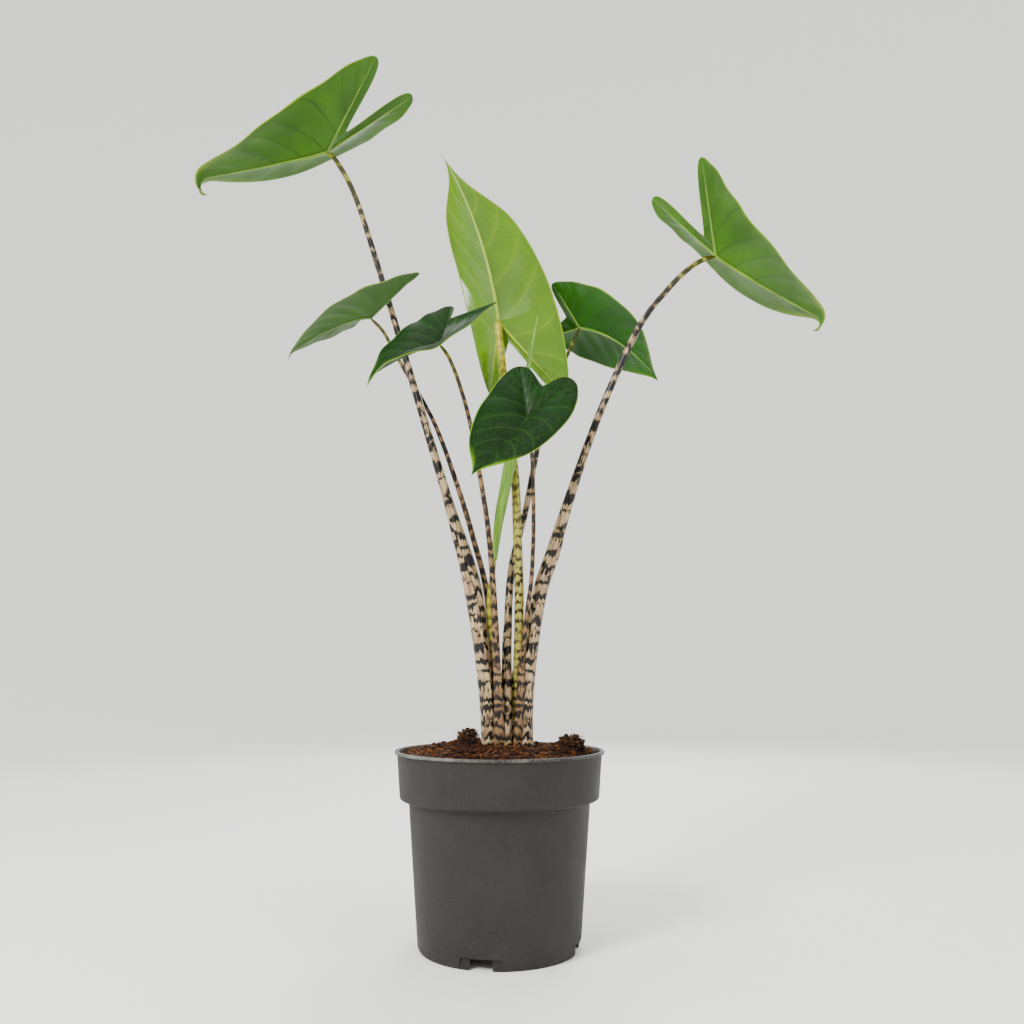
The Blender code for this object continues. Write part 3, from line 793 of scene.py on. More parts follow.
ICO_T = (1.0 + math.sqrt(5.0)) / 2.0
ICO_POINTS = [
    Vector(p).normalized() for p in (
        (-1, ICO_T, 0), (1, ICO_T, 0), (-1, -ICO_T, 0), (1, -ICO_T, 0),
        (0, -1, ICO_T), (0, 1, ICO_T), (0, -1, -ICO_T), (0, 1, -ICO_T),
        (ICO_T, 0, -1), (ICO_T, 0, 1), (-ICO_T, 0, -1), (-ICO_T, 0, 1),
    )
]
ICO_FACES = [
    (0, 11, 5), (0, 5, 1), (0, 1, 7), (0, 7, 10), (0, 10, 11), (1, 5, 9), (5, 11, 4),
    (11, 10, 2), (10, 7, 6), (7, 1, 8), (3, 9, 4), (3, 4, 2), (3, 2, 6), (3, 6, 8),
    (3, 8, 9), (4, 9, 5), (2, 4, 11), (6, 2, 10), (8, 6, 7), (9, 8, 1),
]


@dataclass
class Litter:
    """Scatters crumbs and coir fibres, always in the same way."""

    seed: int

    def __post_init__(self) -> None:
        """Start the row of random numbers."""
        self.dice = random.Random(self.seed)

    def crumb(self, sculpt: Sculpt, middle: Vector, size: float) -> None:
        """Add one rough crumb of the given half size."""
        dice = self.dice
        stretch = Vector((dice.uniform(0.6, 1.2), dice.uniform(0.6, 1.2), dice.uniform(0.5, 1.0)))
        turn = dice.uniform(0.0, TURN)
        c, s = math.cos(turn), math.sin(turn)
        points = []
        for corner in ICO_POINTS:
            p = Vector(a * b for a, b in zip(corner, stretch)) * size * dice.uniform(0.7, 1.25)
            points.append(middle + Vector((c * p.x - s * p.y, s * p.x + c * p.y, p.z)))
        sculpt.solid(points, ICO_FACES, (0.0, 0.0, 0.0, dice.uniform(0.0, 0.95)), SoilSlot.CRUMB)

    def fibre(
        self, sculpt: Sculpt, start: Vector, length: float, rise: float, radius: float
    ) -> None:
        """Add one curved coir fibre.

        Args:
            sculpt: Where it goes.
            start: The end that it starts from.
            length: Its length.
            rise: How steeply it starts, from 0 for flat to 1 for upright.
            radius: Its half thickness.
        """
        dice = self.dice
        heading = dice.uniform(0.0, TURN)
        bend = dice.uniform(-2.2, 2.2)
        fall = dice.uniform(0.4, 1.6)
        spots = [start]
        steps, sides = 8, 4
        for k in range(steps):
            turn = heading + bend * k / steps
            lift = rise - fall * rise * k / steps
            ahead = Vector((math.cos(turn), math.sin(turn), lift)).normalized()
            spots.append(spots[-1] + ahead * length / steps)
        tone = dice.uniform(0.3, 1.2)
        rings = []
        for k, (side, up) in enumerate(axes_along(spots, Vector((0.3, 0.2, 1.0)))):
            thin = radius * (1.0 - 0.6 * k / steps)
            rings.append([
                spots[k] + (side * math.cos(a) + up * math.sin(a)) * thin
                for a in (TURN * j / sides for j in range(sides))
            ])
        sculpt.sweep(rings, [[(0.0, 0.0, 0.0, tone)] * sides] * len(rings), SoilSlot.FIBRE)


CRUMBS = Humus("peat_and_coir_soil", "#0C0402", "#2C1404", "#623210")
FIBRES = Humus("coir_fibre", "#38200A", "#6A3C16", "#A2703A")
TUFT_COIR = Humus("damp_coir_crumbs", "#060301", "#1A0E05", "#4A2C12")
TUFT_FIBRES = Humus("damp_coir_fibre", "#160B03", "#38200C", "#6E4A24")


@dataclass
class RootBall:
    """The soil that fills the pot, heaped against the stalks."""

    pot: NurseryPot
    gap: float = 0.0003
    edge_drop: float = 0.006
    crown: float = 0.009
    roughness: float = 0.003
    crumbs: int = 4200
    fibres: int = 620
    sides: int = 180
    rings: int = 74
    # heaps on the soil: middle in mm, spread in mm, height in mm
    heaps: tuple = (
        (-30, -42, 15, 13), (-44, -36, 13, 6), (60, -42, 13, 10), (76, -36, 14, 8),
        (44, -44, 10, 4), (0, 30, 30, 4), (-60, 20, 22, 3), (92, -18, 8, 7),
    )

    def level(self, x: float, y: float) -> float:
        """Height of the soil's top at a place."""
        radius = math.hypot(x, y)
        share = min(1.0, radius / self.edge_radius())
        height = self.pot.height - self.edge_drop + self.crown * (1.0 - share ** 3)
        fade = ease(1.0, 0.86, share)
        for hx, hy, spread, rise in self.heaps:
            off = math.hypot(x - hx * MM, y - hy * MM) / (spread * MM)
            height += rise * MM * math.exp(-off * off) * (0.35 + 0.65 * fade)
        # lumps of 24 mm, 9 mm and 2.4 mm
        coarse, fine, grain = (
            noise.noise(Vector((x, y, layer)) * scale)
            for layer, scale in ((0.0, 42.0), (0.7, 110.0), (0.3, 420.0))
        )
        return height + self.roughness * fade * (coarse + 0.5 * fine) + 0.0011 * grain * fade

    def spot(self, dice: random.Random, reach: float) -> Vector:
        """A random place on the soil's top, within a reach of the middle."""
        r = reach * math.sqrt(dice.random())
        turn = dice.uniform(0.0, TURN)
        x, y = r * math.cos(turn), r * math.sin(turn)
        return Vector((x, y, self.level(x, y)))

    def edge_radius(self) -> float:
        """The soil's radius at its top edge."""
        low, top = self.pot.inside()[-2], self.pot.inside()[-1]
        share = (self.pot.height - self.edge_drop - low[1]) / (top[1] - low[1])
        return low[0] + (top[0] - low[0]) * share - self.gap

    def build(self) -> bpy.types.Object:
        """Make the ball, its crumbs and its fibres."""
        sculpt = Sculpt()
        edge = self.edge_radius()
        wall = [
            (max(r - self.gap, 0.0), z + self.gap)
            for r, z in NurseryPot.rounded(self.pot.inside()[:-1])
        ][::-1]
        rows, marks = [], []
        for k in range(self.sides + 1):
            turn = TURN * (k % self.sides) / self.sides
            c, s = math.cos(turn), math.sin(turn)
            radii = [edge * i / self.rings for i in range(self.rings + 1)]
            row = [Vector((r * c, r * s, self.level(r * c, r * s))) for r in radii]
            row += [Vector((r * c, r * s, z)) for r, z in wall]
            rows.append(row)
            marks.append([(0.0, 0.0, 0.0, 0.25)] * len(row))
        sculpt.sheet(rows, marks, SoilSlot.CRUMB)
        litter = Litter(11)
        dice = litter.dice
        for _ in range(self.crumbs):
            spot = self.spot(dice, 0.985 * edge)
            size = MM * min(3.2, 0.55 + dice.expovariate(1.5))
            litter.crumb(sculpt, spot + Vector((0.0, 0.0, 0.15 * size)), size)
        for _ in range(self.fibres):
            litter.fibre(
                sculpt, self.spot(dice, edge - 0.004), MM * dice.uniform(4.0, 13.0),
                dice.uniform(0.1, 0.7), MM * dice.uniform(0.12, 0.28),
            )
        return sculpt.build(
            "potting_soil", [Finishes.of(CRUMBS), Finishes.of(FIBRES)], weld=0.000002
        )


@dataclass
class CoirTuft:
    """A loose lump of coir that sits in the soil's top."""

    name: str
    middle: tuple
    half_sizes: tuple
    seed: int
    crumbs: int = 420
    fibres: int = 150

    def build(self) -> bpy.types.Object:
        """Heap crumbs over a lump and let fibres stand out of it."""
        sculpt = Sculpt()
        litter = Litter(self.seed)
        dice = litter.dice
        middle = point(self.middle)
        for _ in range(self.crumbs):
            out = Vector((dice.gauss(0, 1), dice.gauss(0, 1), dice.gauss(0, 1))).normalized()
            deep = dice.uniform(0.25, 0.93)
            spot = middle + Vector(a * b * MM for a, b in zip(out, self.half_sizes)) * deep
            litter.crumb(sculpt, spot, MM * dice.uniform(0.8, 2.6))
        for _ in range(self.fibres):
            turn = dice.uniform(0.0, TURN)
            out = Vector((math.cos(turn), math.sin(turn), dice.uniform(0.0, 1.3))).normalized()
            spot = middle + Vector(a * b * MM for a, b in zip(out, self.half_sizes)) * 0.8
            litter.fibre(
                sculpt, spot, MM * dice.uniform(2.5, 6.5), dice.uniform(0.2, 1.2),
                MM * dice.uniform(0.14, 0.30),
            )
        return sculpt.build(self.name, [Finishes.of(TUFT_COIR), Finishes.of(TUFT_FIBRES)])


# ---------------------------------------------------------------- stalks
@dataclass(frozen=True)
class Sheath:
    """The open sheath at a stalk's foot: a thin skin round its back.

    Opening is the direction that its slit looks in, in degrees from +X
    towards +Y.
    """

    top: float
    opening: float
    wrap: float = 150.0
    least_wrap: float = 18.0
    flare: float = 0.0016
    reach: float = 0.0012
    thickness: float = 0.0010


@dataclass
class LeafStalk:
    """A leaf stalk on the rhizome, with the sheath that wraps its foot."""

    foot: tuple
    route: tuple
    foot_radius: float
    top_radius: float
    finish: StalkSkin
    blade: "ArrowBlade | None" = None
    sheath_height: float = 0.0
    sheath_swell: float = 0.0
    sheath: Sheath | None = None
    seat: float = 0.1503
    swell_spread: float = 0.07
    blunt_from: float = 0.985
    rings: int = 150
    sides: int = 26
    sheath_columns: int = 18

    def top(self) -> Vector:
        """Where the stalk ends: just under the blade's joint, or its last point."""
        last = point(self.route[-1])
        if self.blade is None:
            return last
        joint = point(self.blade.joint)
        heading = (joint - last).normalized()
        under = self.blade.upper_normal()
        tilt = heading.dot(under)
        room = 0.0004 + self.top_radius * math.sqrt(1.0 - tilt ** 2)
        return joint - under * room

    def centre_line(self) -> list[Vector]:
        """The stalk's smooth centre line."""
        points = [Vector((self.foot[0] * MM, self.foot[1] * MM, self.seat))]
        points += [point(p) for p in self.route]
        if self.blade is not None:
            points.append(self.top())
        return smooth_route(points, self.rings)

    def radius(self, share: float, height: float) -> float:
        """The stalk's half thickness at a share of its length and a height."""
        radius = self.foot_radius + (self.top_radius - self.foot_radius) * share
        if self.sheath_swell > 0.0:
            off = (height - self.sheath_height) / self.swell_spread
            radius += self.sheath_swell * math.exp(-off * off)
        return radius

    def build(self, name: str) -> bpy.types.Object:
        """Sweep the stalk and its sheath, and dress them."""
        sculpt = Sculpt()
        line = self.centre_line()
        axes = axes_along(line, Vector((1.0, 0.0, 0.0)))
        step = (line[1] - line[0]).length
        rings, marks = [], []
        for i, (spot, (side, up)) in enumerate(zip(line, axes)):
            share = i / (self.rings - 1)
            radius = self.radius(share, spot.z)
            blunt = max(0.0, share - self.blunt_from) / (1.0 - self.blunt_from)
            end = 1.0 - 0.5 * blunt ** 2
            ring, ring_marks = [], []
            for k in range(self.sides):
                a = TURN * k / self.sides
                # a stalk is a little grooved along its length
                groove = 1.0 - 0.035 * math.cos(3.0 * a + 0.7) - 0.02 * math.cos(7.0 * a)
                ring.append(spot + (side * math.cos(a) + up * math.sin(a)) * radius * groove * end)
                ring_marks.append((
                    self.top_radius * 2.0 * math.cos(a), self.top_radius * 2.0 * math.sin(a),
                    i * step + self.foot[0] * MM, share,
                ))
            rings.append(ring)
            marks.append(ring_marks)
        sculpt.sweep(rings, marks)
        if self.sheath is not None:
            self.add_sheath(sculpt, line, axes, step)
        return sculpt.build(name, [Finishes.of(self.finish)])

    def add_sheath(
        self, sculpt: Sculpt, line: list[Vector], axes: list[tuple], step: float
    ) -> None:
        """Add the sheath as a thin open wrap that narrows to its top.

        Args:
            sculpt: Where it goes.
            line: The stalk's centre line.
            axes: The two axes across it.
            step: The distance between its points.
        """
        sheath = self.sheath
        low = self.seat + 0.02
        opening = math.radians(sheath.opening)
        wanted = Vector((math.cos(opening), math.sin(opening), 0.0))
        rings, marks = [], []
        for i, (spot, (side, up)) in enumerate(zip(line, axes)):
            if spot.z < low or spot.z > sheath.top:
                continue
            u = (spot.z - low) / (sheath.top - low)
            facing = math.atan2(wanted.dot(up), wanted.dot(side))
            least = sheath.least_wrap
            wrap = math.radians(least + (sheath.wrap - least) * (1.0 - u) ** 0.55)
            share = i / (self.rings - 1)
            radius = self.radius(share, spot.z)
            lift = sheath.reach * (1.0 - u) ** 0.4 * ease(0.0, 0.10, 1.0 - u) + 0.0001
            outer, inner, row_marks = [], [], []
            for k in range(self.sheath_columns + 1):
                t = 2.0 * k / self.sheath_columns - 1.0
                a = facing + math.pi + wrap * t
                edge = abs(t) ** 5
                wave = 1.0 + 0.35 * math.sin(spot.z * 190.0 + 2.0 * t + self.foot[0])
                flare = sheath.flare * edge * wave * math.sin(math.pi * min(1.0, u + 0.12)) ** 0.5
                ray = side * math.cos(a) + up * math.sin(a)
                thick = 0.5 * sheath.thickness * (1.0 - 0.6 * edge)
                outer.append(spot + ray * (radius + lift + flare + thick))
                inner.append(spot + ray * (radius + lift + flare - thick))
                # marks set off from the stalk's own, so that its bands don't run on
                row_marks.append((
                    self.top_radius * 2.4 * math.cos(a) + 0.03,
                    self.top_radius * 2.4 * math.sin(a), i * step * 1.15 + 0.1, share,
                ))
            rings.append(outer + inner[::-1])
            marks.append(row_marks + row_marks[::-1])
        sculpt.sweep(rings, marks)


# ---------------------------------------------------------------- blades
class BladeSlot(IntEnum):
    """Material slots of a blade."""

    UPPER = 0
    UNDER = 1
    RIB = 2


@dataclass
class ArrowBlade:
    """An arrow-shaped blade through the points that set its outline.

    Left and right are as seen from the upper face with the tip ahead.
    """

    joint: tuple
    middle: tuple
    tip: tuple
    lobe_right: tuple
    lobe_left: tuple
    side_right: tuple
    side_left: tuple
    flank_right: tuple
    flank_left: tuple
    sinus: tuple
    upper: BladeSkin
    under: BladeSkin
    rib: RibSkin
    rib_radius: float = 0.0024
    curl_length: float = 0.010
    curl_angle: float = 20.0
    tip_along_midrib: float = 0.5
    tail: float = 1.0
    lobe_roundness: float = 0.45
    end_right: tuple = ()
    end_left: tuple = ()
    veins: float = 5.0
    relief: float = 0.0011
    wave: float = 0.0009
    waves: float = 2.2
    thickness: float = 0.0007
    camber: float = 0.07
    rows: int = 66
    lobe_rows: int = 34
    columns: int = 24
    sinus_columns: int = 9
    rib_sides: int = 14
    narrow: float = 0.03

    def upper_normal(self) -> Vector:
        """The direction that the upper face looks in at the joint."""
        across = point(self.side_right) - point(self.side_left)
        lobes = 0.5 * (point(self.lobe_right) + point(self.lobe_left))
        return across.cross(point(self.tip) - lobes).normalized()

    def vein_count(self, along: float, across: float) -> float:
        """How many side veins lie between the joint and a place; whole on a vein."""
        # the veins lean back in the lobes and forward along the midrib
        lean = -0.14 + 0.40 * ease(-0.5, 0.18, along)
        return self.veins * (along - lean * abs(across) ** 1.25)

    def set_up(self) -> None:
        """Work out the lines and directions that both halves share."""
        self.start = point(self.joint)
        self.end = point(self.tip)
        self.bow = 2 * point(self.middle) - 0.5 * (self.start + self.end)
        self.normal = self.upper_normal()
        self.forward = (self.end - self.bow).normalized()
        self.curl_start = self.end - self.forward * self.curl_length
        down = -self.normal
        self.down = (down - self.forward * down.dot(self.forward)).normalized()

    def curled(self, spot: Vector) -> Vector:
        """Roll the blade's last stretch towards its under side."""
        off = spot - self.curl_start
        travel = off.dot(self.forward)
        if travel <= 0.0:
            return spot
        angle = math.radians(self.curl_angle) * travel / self.curl_length
        radius = self.curl_length / math.radians(self.curl_angle)
        drop = off.dot(self.down)
        aside = off - self.forward * travel - self.down * drop
        return (
            self.curl_start + aside + self.forward * (radius - drop) * math.sin(angle)
            + self.down * (radius - (radius - drop) * math.cos(angle))
        )

    def spine(self, along: float, lobe: Vector) -> Vector:
        """The midrib for 0 to 1, a lobe's rib for 0 to -1."""
        if along < 0.0:
            return self.start.lerp(lobe, -along)
        rest = 1.0 - along
        return rest ** 2 * self.start + 2 * along * rest * self.bow + along ** 2 * self.end

    def build(self, name: str) -> bpy.types.Object:
        """Make both faces, the margins and the ribs, and dress them."""
        self.set_up()
        sculpt = Sculpt()
        for right in (True, False):
            half = BladeHalf(self, right)
            front = [i / self.rows for i in range(self.rows + 1)]
            back = [-i / self.lobe_rows for i in range(self.lobe_rows + 1)]
            for alongs, columns, side in (
                (front, self.columns, 1.0), (back, self.columns, 1.0),
                (back, self.sinus_columns, -1.0),
            ):
                edges = []
                for slot, above in ((BladeSlot.UPPER, 0.5), (BladeSlot.UNDER, -0.5)):
                    level = above * self.thickness
                    made = [half.row(along, columns, side, level) for along in alongs]
                    rows, marks = [list(part) for part in zip(*made)]
                    sculpt.sheet(rows, marks, slot)
                    edges.append(([row[-1] for row in rows], [m[-1] for m in marks]))
                (top, top_marks), (low, low_marks) = edges
                sculpt.sheet([top, low], [top_marks, low_marks], BladeSlot.UNDER)
            self.add_rib(sculpt, half.lobe, -0.97, 40, 0.72 * self.rib_radius)
        self.add_rib(sculpt, half.lobe, 0.99, 70, self.rib_radius)
        return sculpt.build(
            name, [Finishes.of(self.upper), Finishes.of(self.under), Finishes.of(self.rib)],
            weld=0.00001,
        )

    def add_rib(
        self, sculpt: Sculpt, lobe: Vector, end: float, last: int, radius: float
    ) -> None:
        """Add a rib that stands out under the blade and barely on top.

        Args:
            sculpt: Where it goes.
            lobe: The end of the lobe that it may run in.
            end: How far along the midrib, or below 0 the lobe, it ends.
            last: How many steps it has.
            radius: Its half width at the joint.
        """
        line = [self.spine(end * i / last, lobe) for i in range(last + 1)]
        rings, marks = [], []
        length = 0.0
        for i, spot in enumerate(line):
            ahead = (line[min(i + 1, last)] - line[max(i - 1, 0)]).normalized()
            if i:
                length += (spot - line[i - 1]).length
            side = ahead.cross(self.normal).normalized()
            thin = radius * (0.12 + 0.88 * (1.0 - i / last) ** 0.85)
            ring, ring_marks = [], []
            for k in range(self.rib_sides):
                a = TURN * k / self.rib_sides
                high = 0.30 if math.sin(a) > 0.0 else 0.95
                ring.append(self.curled(
                    spot + side * thin * math.cos(a)
                    + self.normal * (thin * high * math.sin(a) + 0.05 * self.thickness)
                ))
                ring_marks.append((thin * math.cos(a), thin * math.sin(a), length, i / last))
            rings.append(ring)
            marks.append(ring_marks)
        sculpt.sweep(rings, marks, BladeSlot.RIB)


class BladeHalf:
    """One half of a blade: its outer margin, its sinus margin and its skin."""

    def __init__(self, blade: ArrowBlade, right: bool) -> None:
        """Take the half's points from the blade."""
        self.blade = blade
        self.sign = 1.0 if right else -1.0
        self.lobe = point(blade.lobe_right if right else blade.lobe_left)
        self.side = point(blade.side_right if right else blade.side_left)
        self.flank = point(blade.flank_right if right else blade.flank_left)
        self.sinus = point(blade.sinus)
        rib = self.lobe - blade.start
        inward = blade.start - self.side
        inward = inward - rib.normalized() * inward.dot(rib.normalized())
        # how the margin passes the lobe's end: given, or square to the lobe's rib
        given = blade.end_right if right else blade.end_left
        square = inward.normalized() * blade.lobe_roundness * rib.length
        self.turn = point(given) if given else square

    def outer_margin(self, along: float) -> Vector:
        """The margin from the lobe's end (-1) past the side (0) to the tip (1)."""
        blade = self.blade
        to_flank = (self.flank - self.side).length
        to_tip = (blade.end - self.flank).length
        heading = (self.flank - self.lobe).normalized()
        if along < 0.0:
            to_lobe = (self.lobe - self.side).length
            return hermite(self.side, -heading * to_lobe, self.lobe, self.turn, -along)
        passing = (blade.end - self.side).normalized() * 0.5 * (to_flank + to_tip)
        if along < 0.5:
            return hermite(self.side, heading * to_flank, self.flank, passing, 2 * along)
        chord = (blade.end - self.side).normalized()
        ending = chord.lerp(blade.forward, blade.tip_along_midrib).normalized()
        return hermite(self.flank, passing, blade.end, ending * to_tip * blade.tail, 2 * along - 1)

    def sinus_margin(self, share: float) -> Vector:
        """The margin from the sinus (0) to the lobe's end (1)."""
        return hermite(self.sinus, 0.9 * (self.lobe - self.sinus), self.lobe, -self.turn, share)

    def row(self, along: float, columns: int, side: float, level: float) -> tuple[list, list]:
        """A row of points from the rib to a margin.

        Args:
            along: Where on the rib the row starts.
            columns: How many steps it has.
            side: 1 for the outer margin, -1 for the sinus.
            level: How far above the middle of the skin it lies.

        Returns:
            The points and their marks.
        """
        blade = self.blade
        spine = blade.spine(along, self.lobe)
        margin = self.outer_margin(along) if side > 0.0 else self.sinus_margin(-along)
        width = (margin - spine).length
        # relief and waves die away where the blade is narrow
        broad = min(1.0, width / blade.narrow)
        ends = (1.0 - abs(along) ** 4) if along < 0.0 else (1.0 - along ** 6)
        row, marks = [], []
        for c in range(columns + 1):
            share = c / columns
            count = blade.vein_count(along, share * side)
            puff = 0.5 - 0.5 * math.cos(TURN * count)
            body = math.sin(math.pi * share ** 0.8) if share < 1.0 else 0.0
            swell = blade.camber * width * 4.0 * share * (1.0 - share)
            swell += blade.relief * broad * (puff ** 0.7 - 0.4) * body
            if side > 0.0:
                turn = TURN * blade.waves * along + 1.3 * self.sign + self.side.x * 9.0
                swell += blade.wave * share ** 3 * math.sin(turn) * ends * broad
            spot = spine.lerp(margin, share) + blade.normal * (swell + level)
            row.append(blade.curled(spot))
            marks.append((count, share, along, self.sign))
        return row, marks


@dataclass
class RolledLeaf:
    """The young leaf, still rolled into a spike, with its free edge showing."""

    route: tuple
    radii: tuple
    finish: RibSkin
    rings: int = 110
    sides: int = 44

    def build(self, name: str) -> bpy.types.Object:
        """Sweep a rolled outline along the spike."""
        line = smooth_route([point(p) for p in self.route], self.rings)
        axes = axes_along(line, Vector((1.0, 0.0, 0.0)))
        step = (line[1] - line[0]).length
        sculpt = Sculpt()
        rings, marks = [], []
        for i, (spot, (side, up)) in enumerate(zip(line, axes)):
            share = i / (self.rings - 1)
            where = (len(self.radii) - 1) * share
            k = min(int(where), len(self.radii) - 2)
            radius = self.radii[k] + (self.radii[k + 1] - self.radii[k]) * (where - k)
            # the free edge winds slowly round the spike
            seam = 3.9 + 1.5 * share
            ring, ring_marks = [], []
            for j in range(self.sides):
                u = j / self.sides
                a = seam + TURN * u
                # the roll's free edge stands a little proud of the turn under it
                roll = 0.84 + 0.16 * u ** 0.6
                ridge = 0.035 * math.cos(9.0 * a + 4.0 * share)
                ray = side * math.cos(a) + up * math.sin(a)
                ring.append(spot + ray * radius * (roll + ridge))
                ring_marks.append((radius * math.cos(a), radius * math.sin(a), i * step, share))
            rings.append(ring)
            marks.append(ring_marks)
        sculpt.sweep(rings, marks)
        return sculpt.build(name, [Finishes.of(self.finish)])


# ---------------------------------------------------------------- the plant
BANDED = StalkSkin("banded_stalk_skin", "#B8A27A", "#785A3C", "#060402", "#8A8E0E")
BANDED_SLIM = StalkSkin(
    "slim_banded_stalk_skin", "#8E6E48", "#64462A", "#0E0603", "#7E7A0E",
    spacing=0.012, cover=0.30, young_from=0.82, top_strength=0.7,
)
YELLOW = StalkSkin(
    "yellow_stalk_skin", "#A6A048", "#8A8030", "#241206", "#98980A",
    spacing=0.0095, cover=0.32, widening=0.06, young_from=0.45, young_to=0.95, top_strength=0.5,
)
UNDER_MID = BladeSkin(
    "mid_green_under_skin", "#3B6800", "#2C5200", "#142C02", "#86A20C",
    roughness=0.42, vein_width=0.028, halo=0.12,
)
UPPER_MID = BladeSkin(
    "mid_green_upper_skin", "#1E4A02", "#153A01", "#3E6A10", "#86A20C", vein_strength=0.5,
)
UNDER_DULL = BladeSkin(
    "dull_green_under_skin", "#31580A", "#264806", "#122C06", "#6E8820",
    roughness=0.46, vein_width=0.03, halo=0.12,
)
UPPER_DULL = BladeSkin(
    "dull_green_upper_skin", "#1E5A04", "#154202", "#3E6A10", "#86A20C",
)
UPPER_DARK = BladeSkin(
    "dark_green_upper_skin", "#052500", "#031A00", "#33601C", "#6E9A00",
    vein_strength=0.50, vein_width=0.022, halo=0.10, roughness=0.40, wax=0.14, yellowing=1.0,
)
UNDER_DARK = BladeSkin(
    "dark_green_under_skin", "#1E4404", "#163603", "#0A2203", "#6A8A00",
)
UNDER_RIGHT = BladeSkin(
    "glossy_green_under_skin", "#1C4E00", "#123A00", "#0A2402", "#749600",
    vein_strength=0.40, vein_width=0.025, halo=0.10, roughness=0.30, wax=0.22,
)
UPPER_LIME = BladeSkin(
    "lime_green_upper_skin", "#5C8602", "#4C7402", "#8EA412", "#98AA10",
    vein_strength=0.50, halo=0.25, roughness=0.32,
)
UNDER_LIME = BladeSkin(
    "lime_green_under_skin", "#4C7400", "#3E6400", "#7A960A", "#8A9E0C",
    vein_strength=0.55, vein_width=0.025, halo=0.16, roughness=0.26, wax=0.36, yellowing=0.2,
)
RIB_GREEN = RibSkin("pale_green_rib", "#6E9014", "#486E04")
RIB_LIME = RibSkin("lime_rib", "#8C9E08", "#6E8C06")
RIB_DARK = RibSkin("dull_yellow_rib", "#4E6E10", "#345408")
ROLLED = RibSkin("rolled_young_leaf", "#6E9222", "#467806", roughness=0.34)

BLADES = {
    "leaf_upper_left": ArrowBlade(
        joint=(-190, -25, 823), middle=(-258, -31, 802),
        tip=(-341, -35, 783), lobe_right=(-103, 23, 922), lobe_left=(-131, -73, 904),
        side_right=(-162, 36, 870), side_left=(-214, -88, 842),
        flank_right=(-260, 16, 813), flank_left=(-267, -76, 807),
        sinus=(-169, -30, 844), upper=UPPER_MID, under=UNDER_MID, rib=RIB_GREEN,
        rib_radius=0.0027, curl_length=0.028, curl_angle=150.0, end_right=(-14, -20, 42),
        tip_along_midrib=-0.5, tail=0.8,
    ),
    "leaf_upper_right": ArrowBlade(
        joint=(232, -20, 705), middle=(282, -25, 667),
        tip=(351, -30, 623), lobe_right=(207, -82, 784), lobe_left=(175, 40, 803),
        side_right=(247, -88, 720), side_left=(218, 48, 749),
        flank_right=(291, -78, 668), flank_left=(287, 27, 670),
        sinus=(219, -24, 726), upper=UPPER_MID, under=UNDER_MID, rib=RIB_GREEN,
        rib_radius=0.0027, curl_length=0.022, curl_angle=140.0, end_left=(16, -20, 40),
        tip_along_midrib=-0.5, tail=0.8,
    ),
    "leaf_middle_left": ArrowBlade(
        joint=(-142, 6, 645), middle=(-181, 5, 634),
        tip=(-234, 0, 599), lobe_right=(-139, 42, 672), lobe_left=(-85, -45, 675),
        side_right=(-172, 48, 649), side_left=(-152, -38, 657),
        flank_right=(-201, 36, 630), flank_left=(-197, -25, 630),
        sinus=(-135, 0, 658), upper=UPPER_DULL, under=UNDER_DULL, rib=RIB_DARK,
        rib_radius=0.0018, curl_length=0.015, curl_angle=50.0, lobe_roundness=0.25,
    ),
    "leaf_centre_left": ArrowBlade(
        joint=(-61, -60, 592), middle=(-93, -88, 569),
        tip=(-127, -120, 534), lobe_right=(-53, -25, 646), lobe_left=(-2, -75, 631),
        side_right=(-92, -40, 621), side_left=(-60, -98, 576),
        flank_right=(-116, -78, 580), flank_left=(-97, -125, 555),
        sinus=(-50, -58, 620), upper=UPPER_DARK, under=UNDER_DARK, rib=RIB_DARK,
        rib_radius=0.0016, curl_length=0.020, curl_angle=40.0, lobe_roundness=0.40, relief=0.0005,
    ),
    "leaf_centre": ArrowBlade(
        joint=(-2, 0, 638), middle=(-25, -5, 740),
        tip=(-67, 10, 841), lobe_right=(-11, 20, 562), lobe_left=(68, -10, 553),
        side_right=(-48, 40, 707), side_left=(61, 20, 668),
        flank_right=(-63, 32, 770), flank_left=(15, 15, 763),
        sinus=(9, 2, 616), upper=UPPER_LIME, under=UNDER_LIME, rib=RIB_LIME,
        rib_radius=0.0022, curl_length=0.012, curl_angle=30.0, tip_along_midrib=0.9, tail=1.7,
        lobe_roundness=0.40,
    ),
    "leaf_front": ArrowBlade(
        joint=(27, -75, 510), middle=(1, -100, 476),
        tip=(-25, -125, 443), lobe_right=(20, -54, 570), lobe_left=(72, -58, 556),
        side_right=(-17, -95, 519), side_left=(72, -80, 514),
        flank_right=(-28, -114, 480), flank_left=(29, -108, 467),
        sinus=(43, -63, 547), upper=UPPER_DARK, under=UNDER_DARK, rib=RIB_DARK,
        rib_radius=0.0014, tip_along_midrib=0.3, end_right=(44, -3, 2), end_left=(-34, 2, 18),
        relief=0.0005,
    ),
    "leaf_right": ArrowBlade(
        joint=(90, 55, 652), middle=(135, 50, 632),
        tip=(178, 45, 586), lobe_right=(59, 40, 700), lobe_left=(56, 85, 652),
        side_right=(111, 15, 682), side_left=(96, 92, 629),
        flank_right=(155, 18, 639), flank_left=(138, 80, 610),
        sinus=(75, 60, 667), upper=UPPER_DARK, under=UNDER_RIGHT, rib=RIB_GREEN,
        rib_radius=0.0017, tip_along_midrib=0.3, lobe_roundness=0.50,
    ),
}

BLADE_SLOTS = {
    "leaf_upper_left": "blade_mid_green",
    "leaf_upper_right": "blade_mid_green",
    "leaf_middle_left": "blade_dull_green",
    "leaf_centre_left": "blade_dark_green",
    "leaf_centre": "blade_lime_green",
    "leaf_front": "blade_dark_green",
    "leaf_right": "blade_right_green",
}

